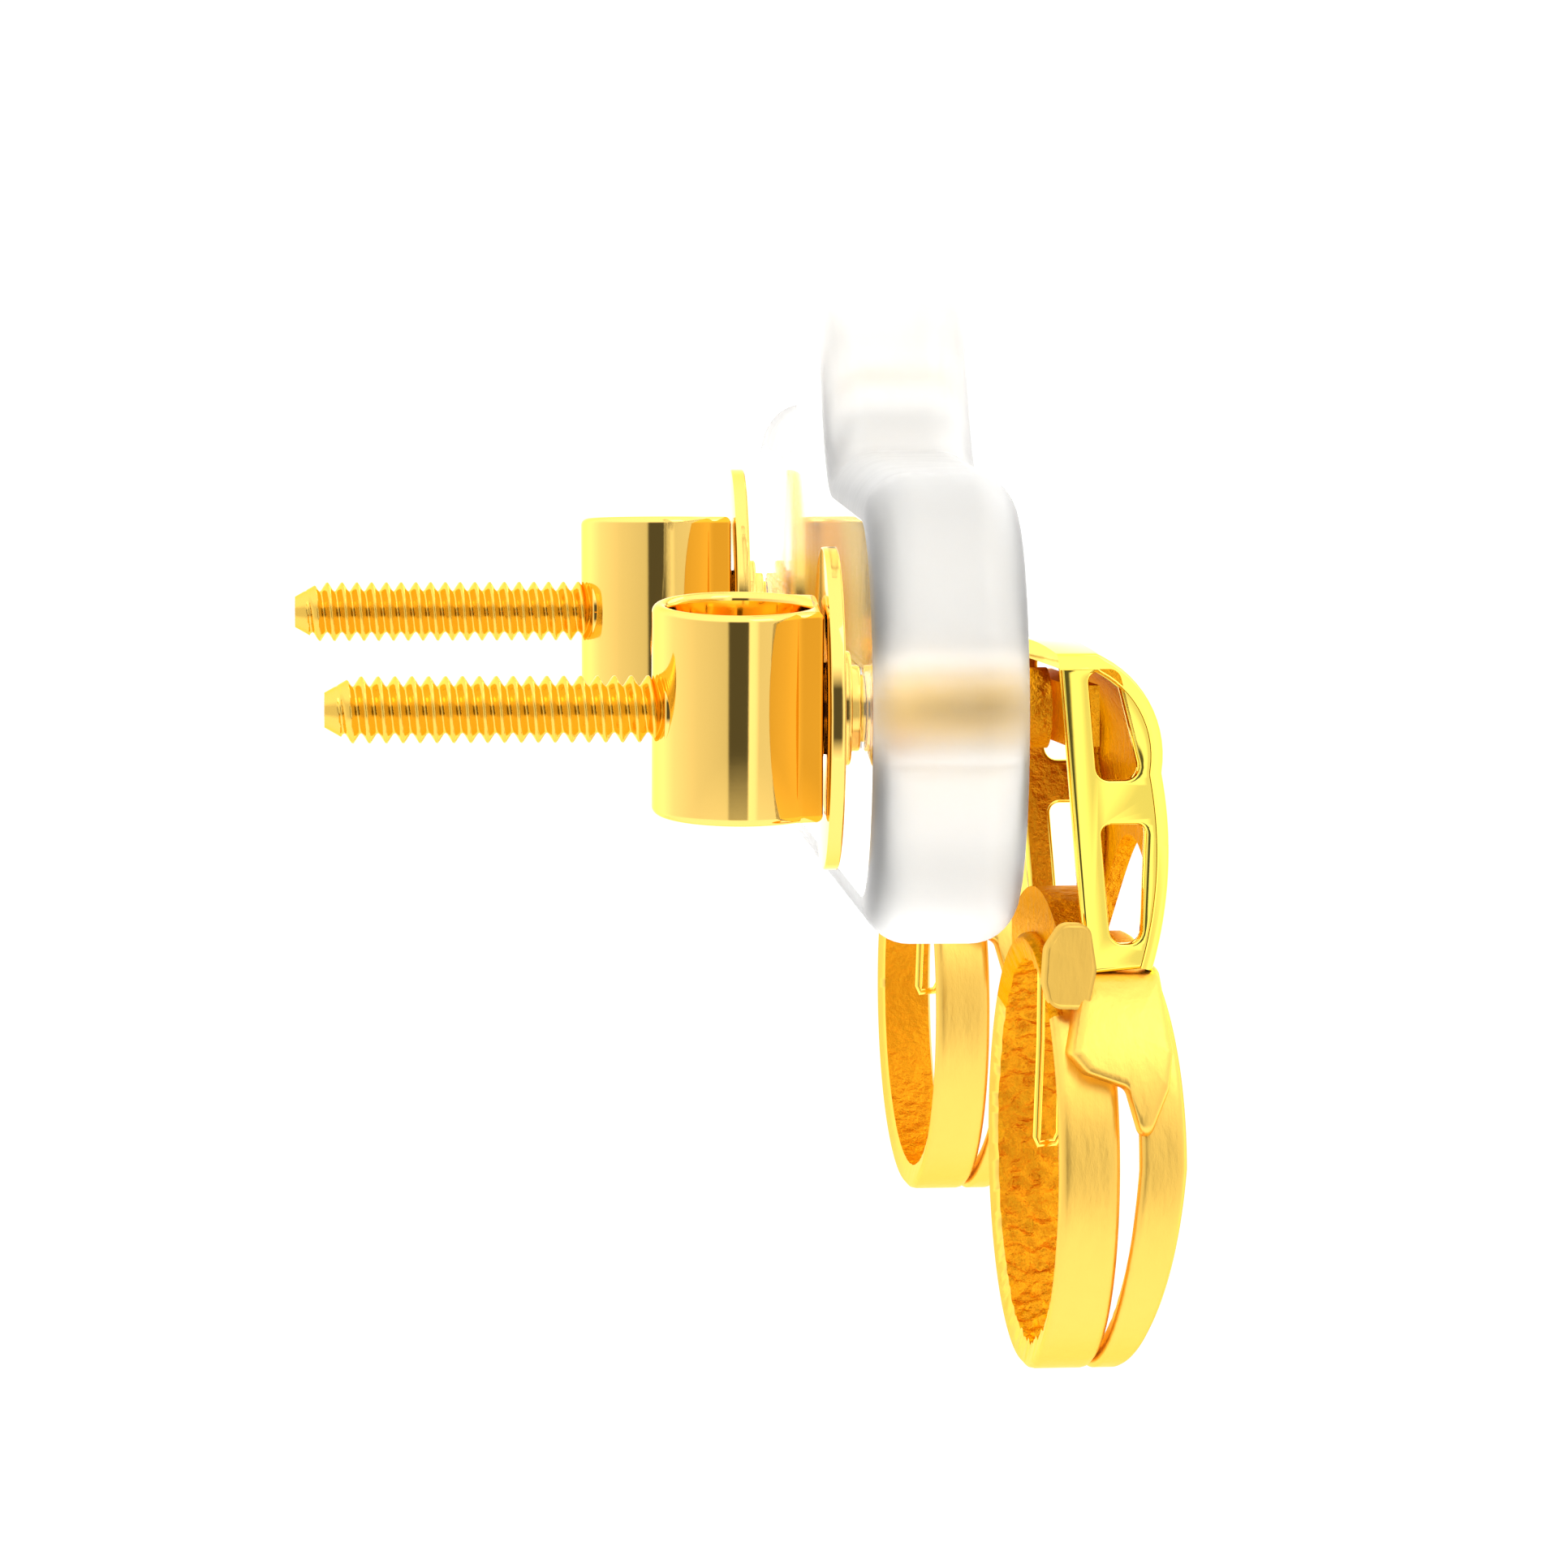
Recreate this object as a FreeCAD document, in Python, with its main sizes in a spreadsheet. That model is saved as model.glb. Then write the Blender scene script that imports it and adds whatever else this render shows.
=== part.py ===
# A pair of screw-back gold earrings clamped on a clear acrylic display plate.
#
# Frame: +X runs along the posts, out through the ornaments. +Z is up, and the
# origin is the centre of the plate's hanging hole, midway through the plate.
# Each earring's pieces are drawn about its post's axis: the post and the nut from
# the middle of the plate, the ornament from the plate's front face, unturned.
# Their Placements carry them to the post and turn the ornament by its yaw.
import math
import os

import FreeCAD
import Part
import Sketcher

Vector = FreeCAD.Vector
# Two places nearer than this are the same place, in millimetres.
TOUCHING = 1e-4
X_AXIS = Vector(1, 0, 0)
Y_AXIS = Vector(0, 1, 0)
Z_AXIS = Vector(0, 0, 1)

doc = FreeCAD.newDocument("ScrewBackEarrings")
sheet = doc.addObject("Spreadsheet::Sheet", "Size")

DIMENSIONS = [
    # display plate
    ("plate_thick", 2.3, "thickness of the acrylic"),
    ("bar_height", 7.0, "height of the cross bar that carries the posts"),
    ("trunk_width", 6.0, "width of the upright trunk"),
    ("head_dia", 10.0, "width of the round head"),
    ("corner_radius", 3.0, "inside corners of the outline"),
    ("edge_radius", 0.7, "rounding of every outer edge"),
    ("hang_hole_dia", 3.0, "hanging hole"),
    ("post_drop", 26.0, "hanging hole down to the posts"),
    ("post_spacing", 26.0, "post to post"),
    # post and its screw thread
    ("thread_dia", 1.0, "over the thread crests"),
    ("thread_depth", 0.15, "crest to root"),
    ("thread_pitch", 0.25, "advance of one turn"),
    ("crest_flat", 0.03, "flat on each thread crest"),
    ("root_overlap", 0.02, "how deep the thread's tooth is rooted in the core"),
    ("root_flat", 0.02, "flat left between two teeth at their roots"),
    ("post_reach", 9.11, "plate middle back to the post's tip"),
    ("tip_dia", 0.52, "flat end of the post"),
    ("tip_length", 0.42, "cone at the end of the post"),
    ("running_gap", 0.05, "radial clearance wherever a piece runs in a bore"),
    ("face_gap", 0.03, "clearance between faces that slide past each other"),
    # nut
    ("grip_dia", 2.6, "outside of the grip tube"),
    ("grip_length", 3.15, "length of the grip tube"),
    ("grip_wall", 0.24, "wall of the grip tube"),
    ("near_grip_roll", 5.5, "turn of the near grip tube about its post, degrees"),
    ("far_grip_roll", -4, "turn of the far grip tube about its post, degrees"),
    ("grip_bedding", 0.1, "depth of the flat filed on the grip tube beside the pad"),
    ("bush_wall", 0.2, "wall of the threaded bush inside the grip tube"),
    ("neck_wall", 0.13, "wall of the bush's neck, which the pad turns on"),
    ("nose_wall", 0.09, "wall of the bush's nose, which bears on the plate"),
    ("nose_length", 0.14, "nose standing proud of the retaining collar"),
    ("collar_wall", 0.21, "radial thickness of the retaining collar"),
    ("collar_thick", 0.16, "thickness of that collar along the post"),
    ("pad_dia", 4.8, "round pad"),
    ("pad_thick", 0.22, "thickness of the pad"),
    # ornament: gallery, its places along the post measured from the plate's front face
    ("yaw", 5.2, "turn of the ornament about the upright, degrees"),
    ("gallery_width", 4.8, "across the two side walls"),
    ("side_thick", 0.3, "thickness of a side wall"),
    ("crown_thick", 0.28, "thickness of the crown"),
    ("gallery_top", 1.0, "crown above the post"),
    ("gallery_foot", 3.78, "foot of the gallery below the post"),
    ("plate_gap", 0.032482, "nearest corner of the gallery's back clear of the plate"),
    ("back_at_foot", 0.66, "back edge of the gallery at the foot"),
    ("crown_bend", 0.85, "where the crown starts to bend over"),
    ("brow_out", 1.9, "front of the crown at its brow"),
    ("brow_drop", 0.84, "brow below the post"),
    ("front_at_foot", 1.76, "front of the crown at the foot"),
    ("bend_radius", 1.7, "bend of the crown over the top"),
    ("front_radius", 6.3, "slow curve of the crown's front"),
    ("arch_top", 1.9, "top of the front arch below the post"),
    ("window_corner", 0.14, "corner radius of the side windows"),
    ("window_margin", 0.4, "rim behind the side windows"),
    ("upper_window_top", 0.66, "upper window's head above the post"),
    ("upper_window_foot", 0.93, "upper window's sill below the post"),
    ("upper_head_width", 0.42, "upper window at its head"),
    ("upper_sill_width", 0.68, "upper window at its sill"),
    ("lower_window_top", 1.58, "lower window's head below the post"),
    ("lower_window_foot", 3.34, "lower window's sill below the post"),
    ("lower_head_width", 0.68, "lower window at its head"),
    ("lower_sill_width", 0.46, "lower window at its sill"),
    ("bridge_height", 0.9, "height of the back bridge"),
    ("bridge_thick", 0.45, "thickness of the back bridge"),
    ("bridge_back", 0.45, "back face of the bridge"),
    ("seat_wall", 0.1, "wall of the cup that the post is soldered into"),
    ("seat_length", 0.36, "length of the cup"),
    ("seat_floor", 0.14, "floor of the cup at its middle"),
    # ornament: hoops
    ("hoop_dia", 6.5, "outside of both hoops"),
    ("hoop_tuck", 0.43, "how far the hoops reach up inside the gallery's foot"),
    ("hoop_wall", 0.4, "radial thickness of the main hoop"),
    ("hoop_back", 0.1, "back rim of the main hoop"),
    ("hoop_width", 0.95, "width of the main hoop"),
    ("front_wall", 0.34, "radial thickness of the front hoop"),
    ("front_gap", 0.25, "slot between the hoops at mid height"),
    ("front_width", 0.66, "width of the front hoop at mid height"),
    ("front_foot_width", 0.36, "width of the front hoop at its top and foot"),
    ("saddle_rise", 0.68, "saddle above the main hoop"),
    ("saddle_back", 0.3, "back face of the saddle"),
    ("saddle_width", 0.7, "width of the saddle"),
    ("shoulder_proud", 0.2, "shoulder's radius over the hoop's"),
    ("shoulder_inset", 0.07621, "where the shoulder's curve meets the foot, inside the wall's face"),
    ("shoulder_back", 0.29, "back corner of the shoulder"),
    ("shoulder_drop", 1.12, "that corner below the gallery's foot"),
    ("shoulder_height", 1.62, "height of the shoulder's broad part"),
    ("shoulder_flare", 0.08, "how far the shoulder flares past the gallery's front"),
    ("shoulder_round", 0.9, "radius of the shoulder's back under edge"),
    ("cheek_inside", 1.08, "how near the middle the two shoulders come"),
    ("tongue_width", 0.62, "tongue of the shoulder, where it starts"),
    ("tongue_lean", 0.4, "how far back the tongue's tip is"),
    ("tongue_length", 0.9, "length of that tongue"),
    ("petal_rise", 0.66, "petal's tip above the gallery's foot"),
    ("petal_depth", 0.54, "how far the petal stands out behind the gallery's foot"),
    ("petal_lean", 0.3, "how much less it stands out at its tip"),
    ("petal_bend", 2.2, "radius of the petal's outer edge"),
    ("petal_thick", 0.3, "thickness of the petal"),
    ("petal_proud", 0.2, "how far the petal stands out past the side wall"),
    ("petal_gap", 0.1, "petal's foot clear of the main hoop"),
    ("wire_thick", 0.12, "inner wire, square section"),
    ("wire_drop", 2.8, "length of the inner wire's loop"),
    ("wire_spread", 0.41, "width of the loop at its top"),
    ("wire_foot", 0.32, "front corner of the loop's foot"),
    ("wire_lean", 0.07, "how far back the loop's other corner leans"),
    ("wire_gap", 0.001, "the wire's flat ends short of the round bore"),
]
for row, (alias, number, note) in enumerate(DIMENSIONS, start=1):
    sheet.set(f"A{row}", alias)
    sheet.set(f"B{row}", str(number))
    sheet.set(f"C{row}", note)
    sheet.setAlias(f"B{row}", alias)
doc.recompute()


def size(expression):
    """The number that an expression over the sheet's aliases comes to."""
    return float(sheet.evalExpression(expression))


# ---------------------------------------------------------------- building blocks

def new_body(label):
    body = doc.addObject("PartDesign::Body", label)
    body.Label = label
    return body


def origin_plane(body, role):
    return next(f for f in body.Origin.OriginFeatures if f.Role == role)


def new_sketch(body, name, plane, offset="0"):
    """A sketch on one of the body's origin planes, lifted along its normal."""
    sketch = body.newObject("Sketcher::SketchObject", name)
    sketch.AttachmentSupport = [(origin_plane(body, plane), "")]
    sketch.MapMode = "FlatFace"
    sketch.setExpression("AttachmentOffset.Base.z", offset)
    return sketch


def bind(sketch, kind, *where, to):
    """One dimension of a sketch, driven by an expression."""
    index = sketch.addConstraint(Sketcher.Constraint(kind, *where, size(to)))
    sketch.setExpression(f"Constraints[{index}]", to)


def add_outline(sketch, corners):
    """A closed outline. Each corner is (across, up) or (across, up, radius): with
    a radius, the stretch that leaves it is an arc, bulging left if it is positive."""
    places = [Vector(size(corner[0]), size(corner[1]), 0) for corner in corners]
    ends = []
    for i, corner in enumerate(corners):
        start, end = places[i], places[(i + 1) % len(corners)]
        if len(corner) == 2:
            line = sketch.addGeometry(Part.LineSegment(start, end))
            ends.append((line, 1, 2))
            continue
        radius = size(corner[2])
        chord = end - start
        left = Vector(-chord.y, chord.x, 0).normalize()
        rise = abs(radius) - math.sqrt(max(radius ** 2 - (chord.Length / 2) ** 2, 0))
        middle = (start + end) / 2 + left * math.copysign(rise, radius)
        arc = sketch.addGeometry(Part.Arc(start, middle, end))
        first, last = sketch.getPoint(arc, 1), sketch.getPoint(arc, 2)
        forward = first.distanceToPoint(start) < last.distanceToPoint(start)
        ends.append((arc, 1, 2) if forward else (arc, 2, 1))
    for i, corner in enumerate(corners):
        geometry, start, end = ends[i]
        following, next_start, _ = ends[(i + 1) % len(corners)]
        sketch.addConstraint(Sketcher.Constraint("Coincident", geometry, end, following, next_start))
        bind(sketch, "DistanceX", -1, 1, geometry, start, to=corner[0])
        bind(sketch, "DistanceY", -1, 1, geometry, start, to=corner[1])
        if len(corner) == 3:
            bind(sketch, "Radius", geometry, to=corner[2].lstrip("-"))


def add_circle(sketch, diameter, across="0", up="0"):
    centre = Vector(size(across), size(up), 0)
    circle = sketch.addGeometry(Part.Circle(centre, Z_AXIS, size(diameter) / 2))
    bind(sketch, "DistanceX", -1, 1, circle, 3, to=across)
    bind(sketch, "DistanceY", -1, 1, circle, 3, to=up)
    bind(sketch, "Diameter", circle, to=diameter)


def pad(body, sketch, length, name="pad"):
    """Thickens a sketch along its plane's normal."""
    feature = body.newObject("PartDesign::Pad", name)
    feature.Profile = sketch
    feature.setExpression("Length", length)
    doc.recompute()
    return feature


def cut(body, sketch, name):
    """Cuts a sketch right through the body, both ways, and checks that it took metal away."""
    before = body.Shape.Volume
    feature = body.newObject("PartDesign::Pocket", name)
    feature.Profile = sketch
    feature.Type = "ThroughAll"
    feature.SideType = "Symmetric"
    doc.recompute()
    if not body.Shape.Volume < before - TOUCHING:
        raise RuntimeError(f"{body.Label}: {name} cut nothing")
    return feature


def round_edges(body, radius, chosen, name="rounding"):
    """Fillets the edges of the body's tip that chosen(edge) picks."""
    tip = body.Tip
    names = [f"Edge{i}" for i, edge in enumerate(tip.Shape.Edges, start=1) if chosen(edge)]
    if not names:
        raise RuntimeError(f"{body.Label}: no edge to round for {name}")
    feature = body.newObject("PartDesign::Fillet", name)
    feature.Base = (tip, names)
    feature.setExpression("Radius", radius)
    doc.recompute()
    return feature


def runs_along(edge, axis):
    """True for a straight edge that is parallel to the axis."""
    return isinstance(edge.Curve, Part.Line) and edge.Curve.Direction.cross(axis).Length < TOUCHING


def slab(label, corners, width, middle="0"):
    """A plate of the given side outline, width across, centred on middle in Y."""
    body = new_body(label)
    # The upright XZ plane faces -Y, so the sketch starts on the slab's +Y face.
    sketch = new_sketch(body, label + "_outline", "XZ_Plane", f"-({middle}) - ({width}) / 2")
    add_outline(sketch, corners)
    pad(body, sketch, width)
    return body


def turned(label, corners):
    """A ring or rod turned about the X axis from a half section (along, radius)."""
    body = new_body(label)
    sketch = new_sketch(body, label + "_section", "XZ_Plane")
    add_outline(sketch, corners)
    feature = body.newObject("PartDesign::Revolution", "turning")
    feature.Profile = sketch
    feature.ReferenceAxis = (sketch, ["H_Axis"])
    feature.Angle = 360
    doc.recompute()
    return body


def ring(body, name, outer, inner, start, width, drop):
    """A ring about an axis parallel to X, from start towards +X."""
    sketch = new_sketch(body, name + "_rings", "YZ_Plane", start)
    add_circle(sketch, outer, "0", f"-({drop})")
    if inner:
        add_circle(sketch, inner, "0", f"-({drop})")
    return pad(body, sketch, width, name)


# ---------------------------------------------------------------- display plate

PLATE_FACE = "(Size.plate_thick / 2)"
HOLE_DIA = "(Size.thread_dia + 2 * Size.running_gap)"
LEFT, RIGHT = "-", ""


def display_plate():
    """An upside-down T of clear acrylic: a bar for the posts, a trunk and a round head."""
    body = new_body("display_plate")
    trunk = "(Size.trunk_width / 2)"
    bar_end = "(Size.post_spacing / 2)"
    end_round = "(Size.bar_height / 2)"
    bar_top = f"-Size.post_drop + {end_round}"
    bar_foot = f"-Size.post_drop - {end_round}"
    neck = f"-sqrt((Size.head_dia / 2)^2 - {trunk}^2)"
    outline = new_sketch(body, "outline", "YZ_Plane", f"-{PLATE_FACE}")
    add_outline(outline, [
        (f"-{bar_end}", bar_foot),
        (bar_end, bar_foot, f"-{end_round}"),
        (f"{bar_end} + {end_round}", "-Size.post_drop", f"-{end_round}"),
        (bar_end, bar_top),
        (trunk, bar_top),
        (trunk, neck, "-Size.head_dia / 2"),
        ("0", "Size.head_dia / 2", "-Size.head_dia / 2"),
        (f"-{trunk}", neck),
        (f"-{trunk}", bar_top),
        (f"-{bar_end}", bar_top, f"-{end_round}"),
        (f"-{bar_end} - {end_round}", "-Size.post_drop", f"-{end_round}"),
    ])
    pad(body, outline, "Size.plate_thick")

    def inside_corner(edge):
        place = edge.Vertexes[0]
        at_trunk = abs(abs(place.Y) - size(trunk)) < TOUCHING
        at_height = min(abs(place.Z - size(height)) for height in (bar_top, neck)) < TOUCHING
        return runs_along(edge, X_AXIS) and at_trunk and at_height

    def round_a_face(edge):
        on_faces = all(abs(abs(vertex.X) - size(PLATE_FACE)) < TOUCHING for vertex in edge.Vertexes)
        return on_faces and not runs_along(edge, X_AXIS)

    round_edges(body, "Size.corner_radius", inside_corner, "inside_corners")
    round_edges(body, "Size.edge_radius", round_a_face, "polished_edges")
    holes = new_sketch(body, "holes", "YZ_Plane")
    add_circle(holes, "Size.hang_hole_dia")
    for side in (LEFT, RIGHT):
        add_circle(holes, HOLE_DIA, f"{side}{bar_end}", "-Size.post_drop")
    cut(body, holes, "drilled_holes")
    return body


# ---------------------------------------------------------------- post

POST_END = "Size.bridge_back - Size.seat_floor"


def threaded_post(label):
    """The stud's shank, turned, with a right-hand thread wound on its core."""
    crest = "Size.thread_dia / 2"
    core = f"{crest} - Size.thread_depth"
    tip = "-Size.post_reach"
    thread_end = f"-{PLATE_FACE}"
    body = turned(label, [
        (tip, "0"),
        (f"{PLATE_FACE} + {POST_END}", "0"),
        (f"{PLATE_FACE} + {POST_END}", crest),
        (thread_end, crest),
        (thread_end, core),
        (f"{tip} + Size.tip_length", core),
        (tip, "Size.tip_dia / 2"),
    ])
    # One tooth, rooted a little way into the core, swept along the thread's helix.
    tooth = new_sketch(body, "tooth", "XZ_Plane")
    middle = f"{tip} + Size.tip_length + Size.thread_pitch / 2"
    root = f"{core} - Size.root_overlap"
    add_outline(tooth, [
        (f"{middle} - (Size.thread_pitch - Size.root_flat) / 2", root),
        (f"{middle} + (Size.thread_pitch - Size.root_flat) / 2", root),
        (f"{middle} + Size.crest_flat / 2", crest),
        (f"{middle} - Size.crest_flat / 2", crest),
    ])
    thread = body.newObject("PartDesign::AdditiveHelix", "thread")
    thread.Profile = tooth
    thread.ReferenceAxis = (tooth, ["H_Axis"])
    thread.Mode = "pitch-height-angle"
    thread.setExpression("Pitch", "Size.thread_pitch")
    thread.setExpression("Height", f"{thread_end} - ({middle})")
    doc.recompute()
    return body


def rod(label, diameter, start, length):
    """A round rod along X."""
    piece = doc.addObject("Part::Cylinder", label)
    piece.setExpression("Radius", f"({diameter}) / 2")
    piece.setExpression("Height", length)
    piece.Placement = FreeCAD.Placement(Vector(), FreeCAD.Rotation(Y_AXIS, 90))
    piece.setExpression("Placement.Base.x", start)
    return piece


def cut_away(label, base, tool):
    """What is left of one object once another is taken out of it."""
    piece = doc.addObject("Part::Cut", label)
    piece.Label = label
    piece.Base = base
    piece.Tool = tool
    doc.recompute()
    return piece


def post_seat(label):
    """The cup on the back bridge that holds the post's root. The bridge is turned with the
    ornament and the cup is not, so the cup's floor is cut off along the bridge's back."""
    start = "Size.bridge_back - Size.seat_length"
    cup = rod(label + "_cup", "Size.thread_dia + 2 * Size.seat_wall", start, "2 * Size.seat_length")
    bore = rod(label + "_bore", "Size.thread_dia", start, "Size.seat_length - Size.seat_floor")
    bridge = doc.addObject("Part::Box", label + "_bridge_side")
    for edge in ("Length", "Width", "Height"):
        bridge.setExpression(edge, "Size.gallery_width")
    bridge.Placement = FreeCAD.Placement(Vector(), FreeCAD.Rotation(Z_AXIS, size("Size.yaw")))
    bridge.setExpression("Placement.Rotation.Angle", "Size.yaw")
    half = "Size.gallery_width / 2"
    bridge.setExpression("Placement.Base.x", f"Size.bridge_back * cos(Size.yaw) + {half} * sin(Size.yaw)")
    bridge.setExpression("Placement.Base.y", f"Size.bridge_back * sin(Size.yaw) - {half} * cos(Size.yaw)")
    bridge.setExpression("Placement.Base.z", f"-{half}")
    return cut_away(label, cut_away(label + "_hollow", cup, bore), bridge)


# ---------------------------------------------------------------- gallery

SIDE_INSIDE = "(Size.gallery_width / 2 - Size.side_thick)"
WALL_MIDDLE = "(Size.gallery_width / 2 - Size.side_thick / 2)"
FOOT = "-Size.gallery_foot"
BACK_AT_TOP = "(Size.gallery_width / 2 * sin(Size.yaw) + Size.plate_gap)"


def back_edge(height):
    """Where the gallery's leaning back edge is, at that height over the post."""
    lean = f"(Size.back_at_foot - {BACK_AT_TOP}) / (Size.gallery_foot + Size.gallery_top)"
    return f"{BACK_AT_TOP} + (Size.gallery_top - ({height})) * {lean}"


def crown_line(inset):
    """The crown's side line from its back top round to its foot, moved in by inset."""
    top = f"Size.gallery_top - {inset}"
    return [
        (back_edge(top), top),
        ("Size.crown_bend", top, f"(Size.bend_radius - {inset})"),
        (f"Size.brow_out - {inset}", "-Size.brow_drop", f"(Size.front_radius - {inset})"),
        (f"Size.front_at_foot - {inset}", FOOT),
    ]


def gallery_crown(label):
    """The polished plate that wraps over the top and down the front, arched at its foot."""
    back_top, bend, brow, foot = crown_line("Size.crown_thick")
    inside = [(*foot, "-" + brow[2]), (*brow[:2], "-" + bend[2]), bend[:2], back_top]
    body = slab(label, crown_line("0") + inside, "Size.gallery_width")
    arch = new_sketch(body, "arch", "YZ_Plane")
    spring = f"-Size.arch_top - {SIDE_INSIDE}"
    below = f"{FOOT} - Size.gallery_width"
    add_outline(arch, [
        (f"-{SIDE_INSIDE}", below),
        (SIDE_INSIDE, below),
        (SIDE_INSIDE, spring, f"-{SIDE_INSIDE}"),
        ("0", "-Size.arch_top", f"-{SIDE_INSIDE}"),
        (f"-{SIDE_INSIDE}", spring),
    ])
    cut(body, arch, "front_arch")
    return body


def gallery_side(label, side):
    """A flat side wall, fitting inside the crown's curve, with two windows sawn in it."""
    body = slab(label, crown_line("Size.crown_thick") + [(back_edge(FOOT), FOOT)],
                "Size.side_thick", side + WALL_MIDDLE)
    windows = new_sketch(body, "windows", "XZ_Plane")
    corners = []
    for which, head in (("upper", "Size.upper_window_top"), ("lower", "-Size.lower_window_top")):
        sill = f"-Size.{which}_window_foot"
        sill_back = f"{back_edge(sill)} + Size.window_margin"
        head_back = f"{back_edge(head)} + Size.window_margin"
        outline = [(sill_back, sill), (f"{sill_back} + Size.{which}_sill_width", sill),
                   (f"{head_back} + Size.{which}_head_width", head), (head_back, head)]
        add_outline(windows, outline)
        corners += [Vector(size(across), 0, size(up)) for across, up in outline]
    cut(body, windows, "windows")

    def at_window_corner(edge):
        place = Vector(edge.Vertexes[0].X, 0, edge.Vertexes[0].Z)
        nearest = min(place.distanceToPoint(corner) for corner in corners)
        return runs_along(edge, Y_AXIS) and nearest < TOUCHING

    round_edges(body, "Size.window_corner", at_window_corner, "window_corners")
    return body


def back_bridge(label):
    """The bar across the gallery's open back that carries the post."""
    half = "Size.bridge_height / 2"
    front = "Size.bridge_back + Size.bridge_thick"
    return slab(label, [("Size.bridge_back", f"-{half}"), (front, f"-{half}"), (front, half),
                        ("Size.bridge_back", half)], f"2 * {SIDE_INSIDE}")


# ---------------------------------------------------------------- hoops and what holds them

HOOP_TOP = f"{FOOT} + Size.hoop_tuck"
HOOP_DROP = "(Size.gallery_foot - Size.hoop_tuck + Size.hoop_dia / 2)"
HOOP_FRONT = "Size.hoop_back + Size.hoop_width"
PETAL_INSIDE = "(Size.gallery_width / 2 + Size.petal_proud - Size.petal_thick)"


def common(label, first, second):
    """What two bodies share."""
    piece = doc.addObject("Part::Common", label)
    piece.Label = label
    piece.Base = first
    piece.Tool = second
    doc.recompute()
    return piece


def shoulder(label, side):
    """A satin cheek under a side wall. It wraps the hoops' flank and ends in a tongue."""
    wrap = new_body(label + "_wrap")
    radius = "(Size.hoop_dia / 2 + Size.shoulder_proud)"
    rise = f"sqrt({radius}^2 - (Size.gallery_width / 2 - Size.shoulder_inset)^2)"
    ring(wrap, "wrap", f"2 * {radius}", None, "Size.hoop_back", "Size.gallery_width",
         f"(Size.gallery_foot + {rise})")
    flank = new_sketch(wrap, "flank", "YZ_Plane")
    add_circle(flank, "Size.hoop_dia", "0", f"-{HOOP_DROP}")
    cut(wrap, flank, "flank")
    front = "Size.front_at_foot"
    broad_foot = f"{FOOT} - Size.shoulder_height"
    inside, outside = "Size.cheek_inside", "Size.hoop_dia"
    cheek = slab(label + "_cheek", [
        (back_edge(FOOT), FOOT),
        (front, FOOT),
        (f"{front} + Size.shoulder_flare", f"{FOOT} - Size.shoulder_drop"),
        (front, broad_foot),
        (f"{front} - Size.tongue_lean", f"{broad_foot} - Size.tongue_length"),
        (f"{front} - Size.tongue_width", broad_foot, "Size.shoulder_round"),
        ("Size.shoulder_back", f"{FOOT} - Size.shoulder_drop"),
    ], f"{outside} - {inside}", f"{side}({outside} + {inside}) / 2")
    return common(label, wrap, cheek)


def back_petal(label, side):
    """A small satin leaf behind the foot of a side wall. It leans out over the hoop's
    flank, just clear of it, and its front edge lies along the wall and the shoulder."""
    tip = f"{FOOT} + Size.petal_rise"
    flank = f"sqrt((Size.hoop_dia / 2)^2 - {PETAL_INSIDE}^2) - Size.hoop_dia / 2"
    foot = f"{HOOP_TOP} + {flank} + Size.petal_gap"
    shoulder_slope = "(Size.back_at_foot - Size.shoulder_back) / Size.shoulder_drop"
    out = "Size.back_at_foot - Size.petal_depth"
    return slab(label, [
        (back_edge(tip), tip),
        (back_edge(FOOT), FOOT),
        (f"Size.back_at_foot - ({FOOT} - ({foot})) * {shoulder_slope}", foot),
        (out, foot),
        (out, FOOT, "-Size.petal_bend"),
        (f"{out} + Size.petal_lean", tip),
    ], "Size.petal_thick", f"{side}({PETAL_INSIDE} + Size.petal_thick / 2)")


def hoop_saddle(label):
    """The block inside the gallery's foot that the main hoop hangs from."""
    arc = new_body(label + "_arc")
    ring(arc, "arc", "Size.hoop_dia + 2 * Size.saddle_rise", "Size.hoop_dia", "Size.saddle_back",
         "Size.saddle_width", HOOP_DROP)
    high = f"{HOOP_TOP} + Size.saddle_rise"
    front = "Size.saddle_back + Size.saddle_width"
    block = slab(label + "_block", [("Size.saddle_back", FOOT), (front, FOOT), (front, high),
                                    ("Size.saddle_back", high)], f"2 * {SIDE_INSIDE}")
    return common(label, arc, block)


def main_hoop(label):
    """A plain band, standing square to the ornament's depth."""
    body = new_body(label)
    ring(body, "hoop", "Size.hoop_dia", "Size.hoop_dia - 2 * Size.hoop_wall", "Size.hoop_back",
         "Size.hoop_width", HOOP_DROP)
    return body


def front_hoop(label):
    """The crescent in front of the main hoop. Its back face leans to meet the main hoop
    at the foot, and its front face bellies out at mid height."""
    blank = new_body(label + "_blank")
    ring(blank, "blank", "Size.hoop_dia", "Size.hoop_dia - 2 * Size.front_wall", HOOP_FRONT,
         "Size.gallery_width", HOOP_DROP)
    foot = f"{HOOP_TOP} - Size.hoop_dia"
    slot = f"{HOOP_FRONT} + Size.front_gap"
    crescent = slab(label + "_side_line", [
        (HOOP_FRONT, foot),
        (slot, f"-{HOOP_DROP}"),
        (slot, HOOP_TOP),
        (f"{slot} + Size.front_foot_width", HOOP_TOP, "(Size.hoop_dia)"),
        (f"{slot} + Size.front_width", f"-{HOOP_DROP}", "(Size.hoop_dia)"),
        (f"{HOOP_FRONT} + Size.front_foot_width", foot),
    ], "Size.hoop_dia")
    return common(label, blank, crescent)


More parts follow.
